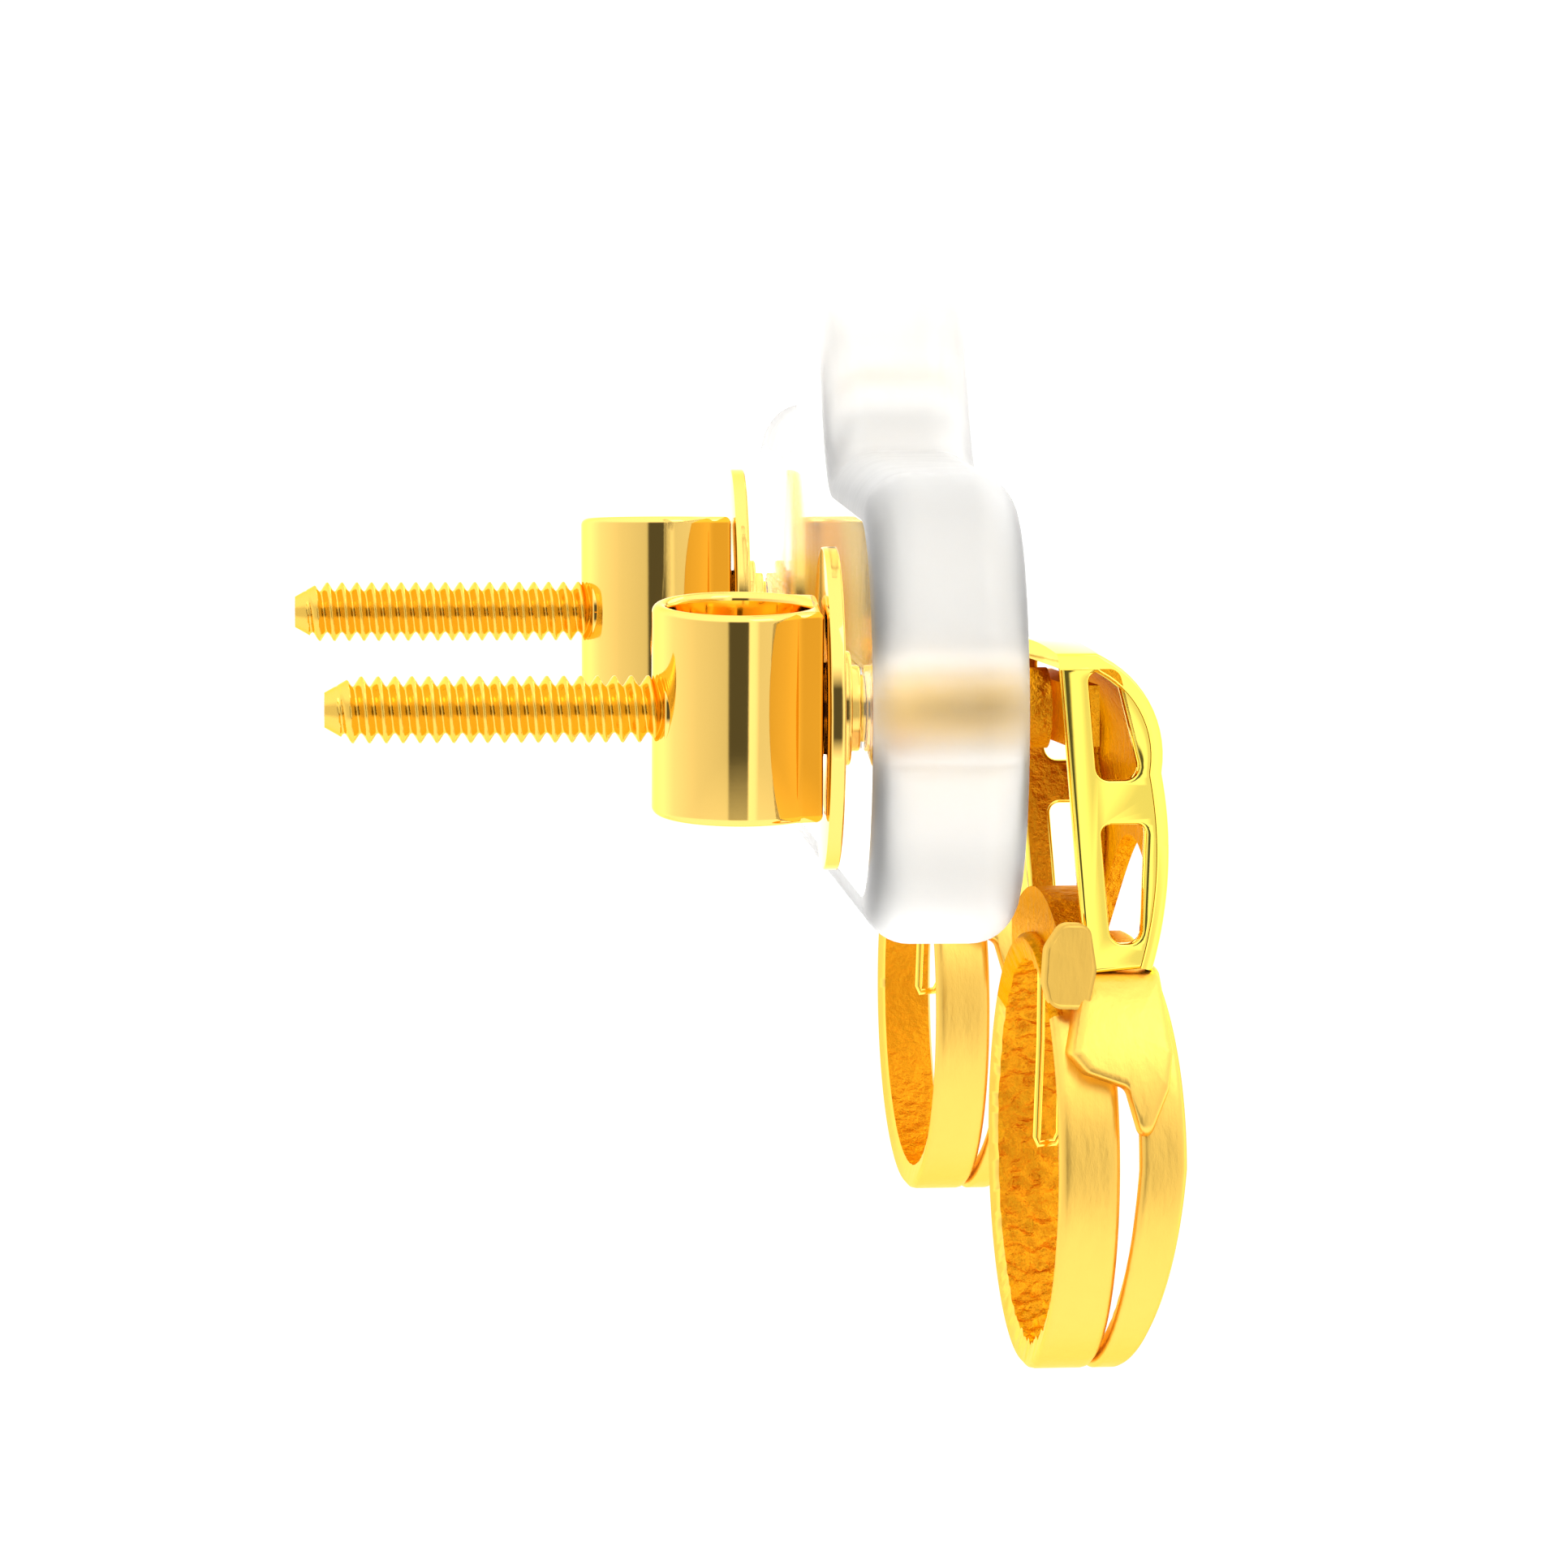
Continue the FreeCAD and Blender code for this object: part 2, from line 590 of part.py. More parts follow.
def inner_wire(label):
    """A thin bent wire that hangs from the top of the main hoop's bore, as a narrow loop."""
    top = f"{HOOP_TOP} - Size.hoop_wall - Size.wire_gap"
    low = f"{HOOP_TOP} - Size.hoop_wall - Size.wire_drop"
    wire = "Size.wire_thick"
    back = "Size.hoop_back + Size.hoop_width / 4"
    return slab(label, [
        (back, top),
        (f"{back} + {wire}", top),
        (f"{back} - Size.wire_lean + {wire}", f"{low} + Size.wire_lean + {wire}"),
        (f"{back} + Size.wire_foot - {wire}", f"{low} + {wire}"),
        (f"{back} + Size.wire_spread - {wire}", top),
        (f"{back} + Size.wire_spread", top),
        (f"{back} + Size.wire_foot", low),
        (f"{back} - Size.wire_lean", f"{low} + Size.wire_lean"),
    ], wire)


# ---------------------------------------------------------------- nut

# Places along the post, from the plate's back face outwards.
NOSE_END = f"-{PLATE_FACE} - Size.face_gap"
COLLAR_FRONT = f"{NOSE_END} - Size.nose_length"
COLLAR_BACK = f"{COLLAR_FRONT} - Size.collar_thick"
PAD_FRONT = f"{COLLAR_BACK} - Size.face_gap"
PAD_BACK = f"{PAD_FRONT} - Size.pad_thick"
GRIP_FLAT = f"{PAD_BACK} - Size.face_gap"
GRIP_MIDDLE = f"{GRIP_FLAT} + Size.grip_bedding - Size.grip_dia / 2"
BUSH_BACK = f"{GRIP_MIDDLE} - Size.grip_dia / 2 + Size.grip_wall / 4"

NUT_BORE = f"{HOLE_DIA} / 2"
NOSE_RADIUS = f"{NUT_BORE} + Size.nose_wall"
NECK_RADIUS = f"{NUT_BORE} + Size.neck_wall"
BUSH_RADIUS = f"{NUT_BORE} + Size.bush_wall"


def nut_pad(label):
    """The round pad that spreads the nut's push. It turns freely on the bush's neck."""
    bore = f"{NECK_RADIUS} + Size.running_gap"
    rim = "Size.pad_dia / 2"
    return turned(label, [(PAD_BACK, bore), (PAD_FRONT, bore), (PAD_FRONT, rim), (PAD_BACK, rim)])


def nut_bush(label):
    """The threaded bush through the grip tube, stepped down to a neck and a nose."""
    return turned(label, [
        (BUSH_BACK, NUT_BORE), (NOSE_END, NUT_BORE),
        (NOSE_END, NOSE_RADIUS), (COLLAR_BACK, NOSE_RADIUS),
        (COLLAR_BACK, NECK_RADIUS), (GRIP_FLAT, NECK_RADIUS),
        (GRIP_FLAT, BUSH_RADIUS), (BUSH_BACK, BUSH_RADIUS),
    ])


def nut_collar(label):
    """The ring on the bush's nose that keeps the pad on."""
    rim = f"{NOSE_RADIUS} + Size.collar_wall"
    return turned(label, [(COLLAR_BACK, NOSE_RADIUS), (COLLAR_FRONT, NOSE_RADIUS), (COLLAR_FRONT, rim),
                          (COLLAR_BACK, rim)])


def nut_grip_tube(label):
    """The short tube, across the post, that the fingers turn. One side is filed flat."""
    body = new_body(label)
    tube = new_sketch(body, "tube", "XY_Plane", "-Size.grip_length / 2")
    add_circle(tube, "Size.grip_dia", GRIP_MIDDLE, "0")
    add_circle(tube, "Size.grip_dia - 2 * Size.grip_wall", GRIP_MIDDLE, "0")
    pad(body, tube, "Size.grip_length")
    flat = new_sketch(body, "flat", "XY_Plane")
    past = f"{GRIP_FLAT} + Size.grip_dia"
    add_outline(flat, [(GRIP_FLAT, "-Size.grip_dia"), (past, "-Size.grip_dia"), (past, "Size.grip_dia"),
                       (GRIP_FLAT, "Size.grip_dia")])
    cut(body, flat, "bedding_flat")
    bore = new_sketch(body, "bore", "YZ_Plane")
    add_circle(bore, f"2 * ({BUSH_RADIUS})")
    cut(body, bore, "bush_bore")
    return body


# ---------------------------------------------------------------- assembly

def earring(name, side):
    """All the pieces of one earring, carried to its post."""
    on_the_post = [
        threaded_post(f"{name}_threaded_post"),
        nut_pad(f"{name}_nut_pad"),
        nut_bush(f"{name}_nut_bush"),
        nut_collar(f"{name}_nut_collar"),
        nut_grip_tube(f"{name}_nut_grip_tube"),
    ]
    grip = on_the_post[-1]
    grip.Placement = FreeCAD.Placement(Vector(), FreeCAD.Rotation(X_AXIS, size(f"Size.{name}_grip_roll")))
    grip.setExpression("Placement.Rotation.Angle", f"Size.{name}_grip_roll")
    seat = post_seat(f"{name}_post_seat")
    ornament = [
        gallery_crown(f"{name}_gallery_crown"),
        gallery_side(f"{name}_gallery_side_left", LEFT),
        gallery_side(f"{name}_gallery_side_right", RIGHT),
        back_bridge(f"{name}_back_bridge"),
        hoop_saddle(f"{name}_hoop_saddle"),
        shoulder(f"{name}_shoulder_left", LEFT),
        shoulder(f"{name}_shoulder_right", RIGHT),
        back_petal(f"{name}_back_petal", LEFT),
        main_hoop(f"{name}_main_hoop"),
        front_hoop(f"{name}_front_hoop"),
        inner_wire(f"{name}_inner_wire"),
    ]
    for piece in ornament:
        piece.Placement = FreeCAD.Placement(Vector(), FreeCAD.Rotation(Z_AXIS, size("Size.yaw")))
        piece.setExpression("Placement.Rotation.Angle", "Size.yaw")
    for piece in [seat] + ornament:
        piece.setExpression("Placement.Base.x", PLATE_FACE)
    pieces = on_the_post + [seat] + ornament
    for piece in pieces:
        piece.setExpression("Placement.Base.y", f"{side}Size.post_spacing / 2")
        piece.setExpression("Placement.Base.z", "-Size.post_drop")
    return pieces


def check(pieces):
    """Stops before anything is written if a feature failed or a shape is not sound."""
    doc.recompute()
    for feature in doc.Objects:
        if "Invalid" in feature.State or "Error" in feature.State:
            raise RuntimeError(f"{feature.Label} failed: {feature.State}")
    for piece in pieces:
        shape = piece.Shape
        if shape.isNull() or not shape.isValid() or len(shape.Solids) != 1:
            raise RuntimeError(f"{piece.Label} is not one sound solid")


pieces = [display_plate()] + earring("near", "-") + earring("far", "")
check(pieces)
os.makedirs("parts", exist_ok=True)
for piece in pieces:
    piece.Shape.exportStep(f"parts/{piece.Label}.step")
print(len(pieces), "parts written")
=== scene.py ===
# A pair of screw-back gold earrings clamped on a clear acrylic display plate.
# Sizes are in millimetres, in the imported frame: +X out along the posts, +Y from
# the near earring to the far one, +Z up. MM turns them into metres.
import math

import bmesh
import bpy
import numpy as np
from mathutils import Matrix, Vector
from mathutils.geometry import tessellate_polygon


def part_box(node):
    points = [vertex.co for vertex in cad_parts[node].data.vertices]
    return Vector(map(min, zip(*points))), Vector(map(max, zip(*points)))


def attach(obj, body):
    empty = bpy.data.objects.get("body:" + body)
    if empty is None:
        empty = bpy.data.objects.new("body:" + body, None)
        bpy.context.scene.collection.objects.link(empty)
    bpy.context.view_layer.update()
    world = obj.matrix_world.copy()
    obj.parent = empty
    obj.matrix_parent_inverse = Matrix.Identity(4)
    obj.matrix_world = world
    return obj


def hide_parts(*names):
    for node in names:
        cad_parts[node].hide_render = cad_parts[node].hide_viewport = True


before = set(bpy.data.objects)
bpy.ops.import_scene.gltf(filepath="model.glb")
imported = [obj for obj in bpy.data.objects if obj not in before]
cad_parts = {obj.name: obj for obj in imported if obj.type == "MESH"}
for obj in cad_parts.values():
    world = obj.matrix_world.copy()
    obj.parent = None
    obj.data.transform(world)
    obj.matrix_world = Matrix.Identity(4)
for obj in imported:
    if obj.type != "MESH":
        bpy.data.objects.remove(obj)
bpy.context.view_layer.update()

# ---------------------------------------------------------------- display plate
# An upside-down T of 2.3 mm clear acrylic, cut from sheet. Its large faces are
# polished, and its sawn edge is rounded over and left softly frosted.
MM = 0.001
plate_low, plate_high = (np.array(corner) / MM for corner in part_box("display_plate"))
PLATE_FACE = plate_high[0]
BAR_HEIGHT = 7.0
BAR_MIDDLE = plate_low[2] + BAR_HEIGHT / 2
BAR_END = plate_high[1] - BAR_HEIGHT / 2
TRUNK_HALF = 3.0
INSIDE_CORNER = 3.0
HEAD_RADIUS = plate_high[2]
EDGE_ROUND = 0.7
POST_HOLE = 0.55
HANGING_HOLE = 1.5
HOLE_ROUND = 0.06
HOLE_STEPS = 48
FLAT_FACE = 0.999


def arc(centre, radius, start, end, steps):
    """Points on a circular arc, from one angle in degrees to another."""
    angle = np.radians(np.linspace(start, end, steps + 1))
    return np.array(centre) + radius * np.stack([np.cos(angle), np.sin(angle)], 1)


def plate_outline():
    """The T, counterclockwise: arcs for the bar's ends, the inside corners and the head,
    joined by straight runs. The left half is the right half mirrored and reversed."""
    neck_height = -math.sqrt((HEAD_RADIUS + INSIDE_CORNER) ** 2 - (TRUNK_HALF + INSIDE_CORNER) ** 2)
    neck = (TRUNK_HALF + INSIDE_CORNER, neck_height)
    to_head = math.degrees(math.atan2(-neck[1], -neck[0]))
    armpit = (TRUNK_HALF + INSIDE_CORNER, BAR_MIDDLE + BAR_HEIGHT / 2 + INSIDE_CORNER)
    right = np.concatenate([
        arc((BAR_END, BAR_MIDDLE), BAR_HEIGHT / 2, -90, 90, 48),
        arc(armpit, INSIDE_CORNER, 270, 180, 20),
        arc(neck, INSIDE_CORNER, 180, to_head, 12),
        arc((0, 0), HEAD_RADIUS, to_head - 180, 90, 48),
    ])
    left = right[::-1] * (-1, 1)
    return np.concatenate([right, left[1:]])


def moved_in(loop, distance):
    """A closed loop moved towards its left. Each corner slides along the sum of its two
    edges' left normals, far enough for both edges to move by the distance."""
    ahead = np.roll(loop, -1, 0) - loop
    ahead = ahead / np.linalg.norm(ahead, axis=1, keepdims=True)
    normal = np.stack([-ahead[:, 1], ahead[:, 0]], 1)
    both = normal + np.roll(normal, 1, 0)
    return loop + 2 * distance * both / (both ** 2).sum(1, keepdims=True)


def grid_faces(rows, columns, round_rows=False, first=0):
    """Quads over a grid of points whose columns close on themselves, and whose rows may."""
    row = np.arange(rows if round_rows else rows - 1)[:, None]
    column = np.arange(columns)[None, :]
    next_row, next_column = (row + 1) % rows, (column + 1) % columns
    corners = [row * columns + column, row * columns + next_column,
               next_row * columns + next_column, next_row * columns + column]
    return first + np.stack(np.broadcast_arrays(*corners), -1).reshape(-1, 4)


def cut_sheet(loops, low, high, steps):
    """A flat sheet from low to high, cut to an outline and its holes. Each loop's edge is
    rounded over by its own radius, a quarter circle at each face: the inset is the radius
    times 1 - sin, and the depth the radius times 1 - cos. Points are (across, up, through)."""
    turn = np.linspace(0, np.pi / 2, steps + 1)
    points, faces, low_rims, high_rims = [], [], [], []
    count = 0
    for loop, rounding in loops:
        inset = rounding * (1 - np.sin(turn))
        depth = rounding * (1 - np.cos(turn))
        insets = np.concatenate([inset, inset[::-1]])
        heights = np.concatenate([low + depth, high - depth[::-1]])
        rings = [np.column_stack([moved_in(loop, by), np.full(len(loop), height)])
                 for by, height in zip(insets, heights)]
        points += rings
        faces += grid_faces(len(rings), len(loop), first=count).tolist()
        low_rims.append((count, rings[0]))
        count += len(rings) * len(loop)
        high_rims.append((count - len(loop), rings[-1]))
    for rims in (low_rims, high_rims):
        index = np.concatenate([np.arange(start, start + len(ring)) for start, ring in rims])
        flat = [[Vector((x, y, 0)) for x, y, _ in ring] for _, ring in rims]
        faces += [index[list(triangle)].tolist() for triangle in tessellate_polygon(flat)]
    return np.concatenate(points), faces


def new_piece(name, points, faces, materials, crease=35):
    """A closed mesh piece from points in millimetres, with doubled points merged, its faces
    turned outwards, and smooth shading up to the crease angle in degrees."""
    mesh = bpy.data.meshes.new(name)
    mesh.from_pydata((points * MM).tolist(), [], [tuple(map(int, face)) for face in faces])
    work = bmesh.new()
    work.from_mesh(mesh)
    bmesh.ops.remove_doubles(work, verts=work.verts, dist=1e-8)
    bmesh.ops.recalc_face_normals(work, faces=work.faces)
    work.to_mesh(mesh)
    work.free()
    mesh.shade_smooth()
    mesh.set_sharp_from_angle(angle=math.radians(crease))
    for material in materials:
        mesh.materials.append(material)
    piece = bpy.data.objects.new(name, mesh)
    bpy.context.scene.collection.objects.link(piece)
    weighted = piece.modifiers.new("flat_faces_stay_flat", "WEIGHTED_NORMAL")
    weighted.keep_sharp = True
    return piece


def node_maker(tree):
    """A function that adds a node to the tree and sets its properties and sockets by name."""

    def node(kind, **settings):
        made = tree.nodes.new(kind)
        for key, value in settings.items():
            if hasattr(made, key):
                setattr(made, key, value)
            else:
                made.inputs[key.replace("_", " ")].default_value = value
        return made

    return node


def new_material(name):
    """A node material, its shader, and functions that add a node and a link."""
    material = bpy.data.materials.new(name)
    material.use_nodes = True
    tree = material.node_tree
    return material, tree.nodes["Principled BSDF"], node_maker(tree), tree.links.new


def acrylic(name, roughness, grain):
    """Clear acrylic: refracting, a little warm, its polish faintly clouded."""
    material, shader, node, link = new_material(name)
    shader.inputs["Base Color"].default_value = (0.985, 0.98, 0.955, 1)
    shader.inputs["Transmission Weight"].default_value = 1
    shader.inputs["IOR"].default_value = 1.49
    place = node("ShaderNodeTexCoord")
    cloud = node("ShaderNodeTexNoise", Scale=1400.0, Detail=3.0)
    link(place.outputs["Object"], cloud.inputs["Vector"])
    spread = node("ShaderNodeMapRange", To_Min=roughness * 0.85, To_Max=roughness * 1.15)
    link(cloud.outputs["Fac"], spread.inputs["Value"])
    link(spread.outputs["Result"], shader.inputs["Roughness"])
    bump = node("ShaderNodeBump", Strength=grain, Distance=0.00003)
    link(cloud.outputs["Fac"], bump.inputs["Height"])
    link(bump.outputs["Normal"], shader.inputs["Normal"])
    return material


polished_acrylic = acrylic("acrylic_polished_face", 0.05, 0.02)
frosted_acrylic = acrylic("acrylic_frosted_edge", 0.42, 0.15)
holes = [((0, 0), HANGING_HOLE), ((-BAR_END, BAR_MIDDLE), POST_HOLE), ((BAR_END, BAR_MIDDLE), POST_HOLE)]
loops = [(plate_outline(), EDGE_ROUND)]
loops += [(arc(centre, radius, 360, 0, HOLE_STEPS)[:-1], HOLE_ROUND) for centre, radius in holes]
points, faces = cut_sheet(loops, -PLATE_FACE, PLATE_FACE, 10)
plate = new_piece("acrylic_plate", points[:, [2, 0, 1]], faces, [polished_acrylic, frosted_acrylic])
frosted = [abs(polygon.normal.x) <= FLAT_FACE for polygon in plate.data.polygons]
plate.data.polygons.foreach_set("material_index", np.array(frosted, dtype=np.int32))
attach(plate, "display")
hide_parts("display_plate")

# ---------------------------------------------------------------- threaded posts
# Each stud's shank is a 1 mm gold rod, cut with a fine V thread from the plate
# back to a coned tip, and left plain where it passes through the plate.
POST_RADIUS = 0.5
THREAD_DEPTH = 0.15
THREAD_PITCH = 0.25
THREAD_STOP = -PLATE_FACE - 0.02
STEPS_A_PITCH = 12
TIP_RADIUS = 0.26
TIP_CONE = 0.42
TIP_EASE = 0.03
SIDES = ("near", "far")
post_box = {side: [np.array(corner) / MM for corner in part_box(f"{side}_threaded_post")] for side in SIDES}
post_at = {side: np.array([0, *((low + high) / 2)[1:]]) for side, (low, high) in post_box.items()}


def gold(name, colour, deep_colour, roughness, grain, grain_size, stretch=(1, 1, 1), depth=0.00001):
    """Yellow gold. Its colour drifts between two shades, its polish varies a little, and
    its surface has a fine grain, stretched where a tool has dragged it."""
    material, shader, node, link = new_material(name)
    shader.inputs["Metallic"].default_value = 1
    shader.inputs["Specular Tint"].default_value = (1, 0.5 + colour[1] / 2, 0.3 + colour[2], 1)
    place = node("ShaderNodeTexCoord")
    lay = node("ShaderNodeMapping")
    lay.inputs["Scale"].default_value = stretch
    link(place.outputs["Object"], lay.inputs["Vector"])
    drift = node("ShaderNodeTexNoise", Scale=260.0, Detail=3.0)
    link(place.outputs["Object"], drift.inputs["Vector"])
    tint = node("ShaderNodeMix", data_type="RGBA")
    tint.inputs["A"].default_value = (*colour, 1)
    tint.inputs["B"].default_value = (*deep_colour, 1)
    link(drift.outputs["Fac"], tint.inputs["Factor"])
    link(tint.outputs["Result"], shader.inputs["Base Color"])
    fine = node("ShaderNodeTexNoise", Scale=grain_size, Detail=5.0, Roughness=0.6)
    link(lay.outputs["Vector"], fine.inputs["Vector"])
    wear = node("ShaderNodeMapRange", To_Min=roughness * 0.75, To_Max=roughness * 1.3)
    link(fine.outputs["Fac"], wear.inputs["Value"])
    link(wear.outputs["Result"], shader.inputs["Roughness"])
    bump = node("ShaderNodeBump", Strength=grain, Distance=depth)
    link(fine.outputs["Fac"], bump.inputs["Height"])
    link(bump.outputs["Normal"], shader.inputs["Normal"])
    return material


def thread_height(phase):
    """How far a V thread stands out of its root, 0 to 1, over one pitch: a triangle with
    its crest and its root cut flat."""
    return np.clip(1.3 * (1 - np.abs(2 * (phase % 1) - 1)) - 0.15, 0, 1)


def post_radius(along, turn, tip):
    """The thread winds as phase = along / pitch - turn. The tip's cone limits its radius,
    and past its end the shank is plain."""
    phase = along / THREAD_PITCH - turn / (2 * np.pi)
    threaded = POST_RADIUS - THREAD_DEPTH * (1 - thread_height(phase))
    cone = TIP_RADIUS + (along - tip) * (POST_RADIUS - TIP_RADIUS) / TIP_CONE
    return np.where(along >= THREAD_STOP - 1e-6, POST_RADIUS, np.minimum(threaded, cone))


def turned(along, radius):
    """Points turned about the X axis, 48 to a ring: along, radius cos, radius sin. The
    radius is a column, or a function of the place along and the turn."""
    turn = np.linspace(0, 2 * np.pi, 48, endpoint=False)
    along = np.reshape(along, (-1, 1)) + 0 * turn
    radius = radius(along, turn) if callable(radius) else np.reshape(radius, (-1, 1)) + 0 * turn
    return np.stack([along, radius * np.cos(turn), radius * np.sin(turn)], -1)


cut_gold = gold("gold_cut_thread", (0.94, 0.62, 0.12), (0.82, 0.48, 0.07), 0.16, 0.15, 9000.0)
for side in SIDES:
    tip, root = post_box[side][0][0], post_box[side][1][0]
    steps = np.concatenate([np.arange(tip, THREAD_STOP, THREAD_PITCH / STEPS_A_PITCH), [THREAD_STOP, root]])
    rings = np.concatenate([
        turned([tip + TIP_EASE, tip], [0.0, TIP_RADIUS - TIP_EASE]),
        turned(steps, lambda along, turn: post_radius(along, turn, tip)),
        turned([root], [0.0]),
    ])
    points = rings.reshape(-1, 3) + post_at[side]
    post = new_piece(f"{side}_post_thread", points, grid_faces(*rings.shape[:2]), [cut_gold], 60)
    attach(post, f"{side}_earring")
    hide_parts(f"{side}_threaded_post")

# ---------------------------------------------------------------- nut grip tubes
# A short length of gold tube that the fingers turn, soldered across the bush. Its
# rims are rolled over. Towards the pad its wall runs straight from the round, in
# two legs, to the flat that it is bedded on.
GRIP_RADIUS = 1.3
GRIP_WALL = 0.24
GRIP_HALF_LENGTH = 1.575
GRIP_BEDDING = 0.1
GRIP_GAP = 0.03
LEG_START = math.radians(49)
LEG_ANGLE = math.radians(13)
GRIP_ROLL = {"near": 5.5, "far": -4.0}
mirror_gold = gold("gold_mirror", (1.0, 0.67, 0.18), (0.98, 0.63, 0.14), 0.06, 0.04, 2600.0)
pad_low, pad_high = (np.array(corner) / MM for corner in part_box("near_nut_pad"))
grip_flat = pad_low[0] - GRIP_GAP
grip_middle = grip_flat + GRIP_BEDDING - GRIP_RADIUS


def rolled(points, degrees):
    """Points turned about the X axis."""
    c, s = math.cos(math.radians(degrees)), math.sin(math.radians(degrees))
    return points @ np.array([[1, 0, 0], [0, c, s], [0, -s, c]])


def grip_tube():
    """A grid round the tube and round its wall's section, a tall bar with half round ends.
    Seen along its length the outside is a circle as far as the legs, two straight runs that
    close in at the leg's angle, and a filed flat across their ends."""
    turn = np.radians(np.linspace(-180, 180, 240, endpoint=False))[:, None]
    leg_distance = GRIP_RADIUS * math.cos(math.pi / 2 - LEG_ANGLE - LEG_START)
    leg = leg_distance / (math.sin(LEG_ANGLE) * np.cos(turn) + math.cos(LEG_ANGLE) * np.abs(np.sin(turn)))
    flat = (GRIP_RADIUS - GRIP_BEDDING) / np.maximum(np.cos(turn), 0.01)
    outer = np.where(np.abs(turn) < LEG_START, np.minimum(leg, flat), GRIP_RADIUS)
    rim = np.linspace(0, np.pi, 13)
    half = GRIP_WALL / 2
    through = np.concatenate([half * np.cos(rim), -half * np.cos(rim)])
    end = np.repeat([1, -1], len(rim))
    height = end * (GRIP_HALF_LENGTH - half + half * np.sin(np.tile(rim, 2)))
    radius = np.where(through > 0, outer, GRIP_RADIUS) - half + through
    return np.stack([radius * np.cos(turn), radius * np.sin(turn), height + 0 * turn], -1)


for side in SIDES:
    grid = grip_tube()
    points = grid.reshape(-1, 3)
    points[:, 0] += grip_middle
    points = rolled(points, GRIP_ROLL[side]) + post_at[side]
    faces = grid_faces(*grid.shape[:2], round_rows=True)
    tube = new_piece(f"{side}_grip_tube", points, faces, [mirror_gold], 50)
    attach(tube, f"{side}_nut")
    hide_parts(f"{side}_nut_grip_tube")

# ---------------------------------------------------------------- nut bushes, collars and pads
# Turned gold pieces: the bush through the tube, the collar that keeps the pad on
# its nose, and the thin round pad, all with softened edges.
EASING = 0.035
BORE_GAP = 0.05
NOSE_WALL = 0.09
NECK_WALL = 0.13
BUSH_WALL = 0.2
COLLAR_WALL = 0.21
NOSE_GAP = 0.03
NOSE_LENGTH = 0.14
COLLAR_THICK = 0.16
BUSH_BACK_TRIM = 0.1
PAD_RADIUS = 2.4


def lathe(section):
    """A closed turned piece from its half section (along, radius). Each corner is cut back
    by the easing, and a parabola from cut to cut, with the corner as its handle, rounds it."""
    section = np.array(section)
    before, after = np.roll(section, 1, 0) - section, np.roll(section, -1, 0) - section
    reach_back, reach_on = (np.minimum(EASING / np.linalg.norm(edge, axis=1, keepdims=True), 0.45)
                            for edge in (before, after))
    start, end = section + before * reach_back, section + after * reach_on
    share = np.linspace(0, 1, 5)[None, :, None]
    curve = (start[:, None] * (1 - share) ** 2 + section[:, None] * 2 * share * (1 - share)
             + end[:, None] * share ** 2)
    return turned(*curve.reshape(-1, 2).T)


bore = POST_RADIUS + BORE_GAP
nose, neck, bush = bore + NOSE_WALL, bore + NECK_WALL, bore + BUSH_WALL
nose_end = -PLATE_FACE - NOSE_GAP
collar_front = nose_end - NOSE_LENGTH
collar_back = collar_front - COLLAR_THICK
bush_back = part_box("near_nut_bush")[0][0] / MM + BUSH_BACK_TRIM
sections = {
    "nut_bush": [(bush_back, bore), (nose_end, bore), (nose_end, nose), (collar_back, nose),
                 (collar_back, neck),
                 (grip_flat, neck), (grip_flat, bush), (bush_back, bush)],
    "nut_collar": [(collar_back, nose), (collar_front, nose), (collar_front, nose + COLLAR_WALL),
                   (collar_back, nose + COLLAR_WALL)],
    "nut_pad": [(pad_low[0], neck + BORE_GAP), (pad_high[0], neck + BORE_GAP), (pad_high[0], PAD_RADIUS),
                (pad_low[0], PAD_RADIUS)],
}
for side in SIDES:
    for node_name, section in sections.items():
        grid = lathe(section)
        points = grid.reshape(-1, 3) + post_at[side]
        piece = new_piece(f"{side}_{node_name}_turned", points, grid_faces(*grid.shape[:2], round_rows=True),
                          [mirror_gold], 50)
        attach(piece, f"{side}_pad" if node_name == "nut_pad" else f"{side}_nut")
        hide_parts(f"{side}_{node_name}")

# ---------------------------------------------------------------- gallery side walls
# Two flat polished walls stand either side of the post, each sawn with two
# windows. Their outer edge fits inside the crown, and their back edge leans.
YAW = 5.2
GALLERY_HALF = 2.4
SIDE_THICK = 0.3
CROWN_THICK = 0.28
GALLERY_TOP = 1.0
GALLERY_FOOT = -3.78
BACK_AT_TOP = 0.25
BACK_AT_FOOT = 0.66
CROWN_BEND = (0.85, 1.0)
CROWN_BROW = (1.9, -0.84)
CROWN_TOE = (1.76, GALLERY_FOOT)
BEND_RADIUS = 1.7
FRONT_RADIUS = 6.3
WINDOW_RIM = 0.4
UPPER_WINDOW = {"head": 0.66, "head_width": 0.42, "sill": -0.93, "sill_width": 0.68}
LOWER_WINDOW = {"head": -1.58, "head_width": 0.68, "sill": -3.34, "sill_width": 0.46}
WALL_LAP = 0.02
WALL_INSET = 0.01
INNER_FACE = -0.99


def back_edge(height):
    """Where the leaning back edge is at a height: on the straight line from its place at
    the top to its place at the foot."""
    lean = (BACK_AT_FOOT - BACK_AT_TOP) / (GALLERY_TOP - GALLERY_FOOT)
    return BACK_AT_TOP + (GALLERY_TOP - height) * lean


def arc_centre(start, end, radius):
    """The centre of the arc from start to end that bulges to its left. It lies right of the
    chord's middle by the root of radius squared - half the chord squared."""
    start, end = np.array(start, float), np.array(end, float)
    chord = end - start
    length = np.linalg.norm(chord)
    right = np.array([chord[1], -chord[0]]) / length
    return (start + end) / 2 + right * math.sqrt(radius ** 2 - (length / 2) ** 2)


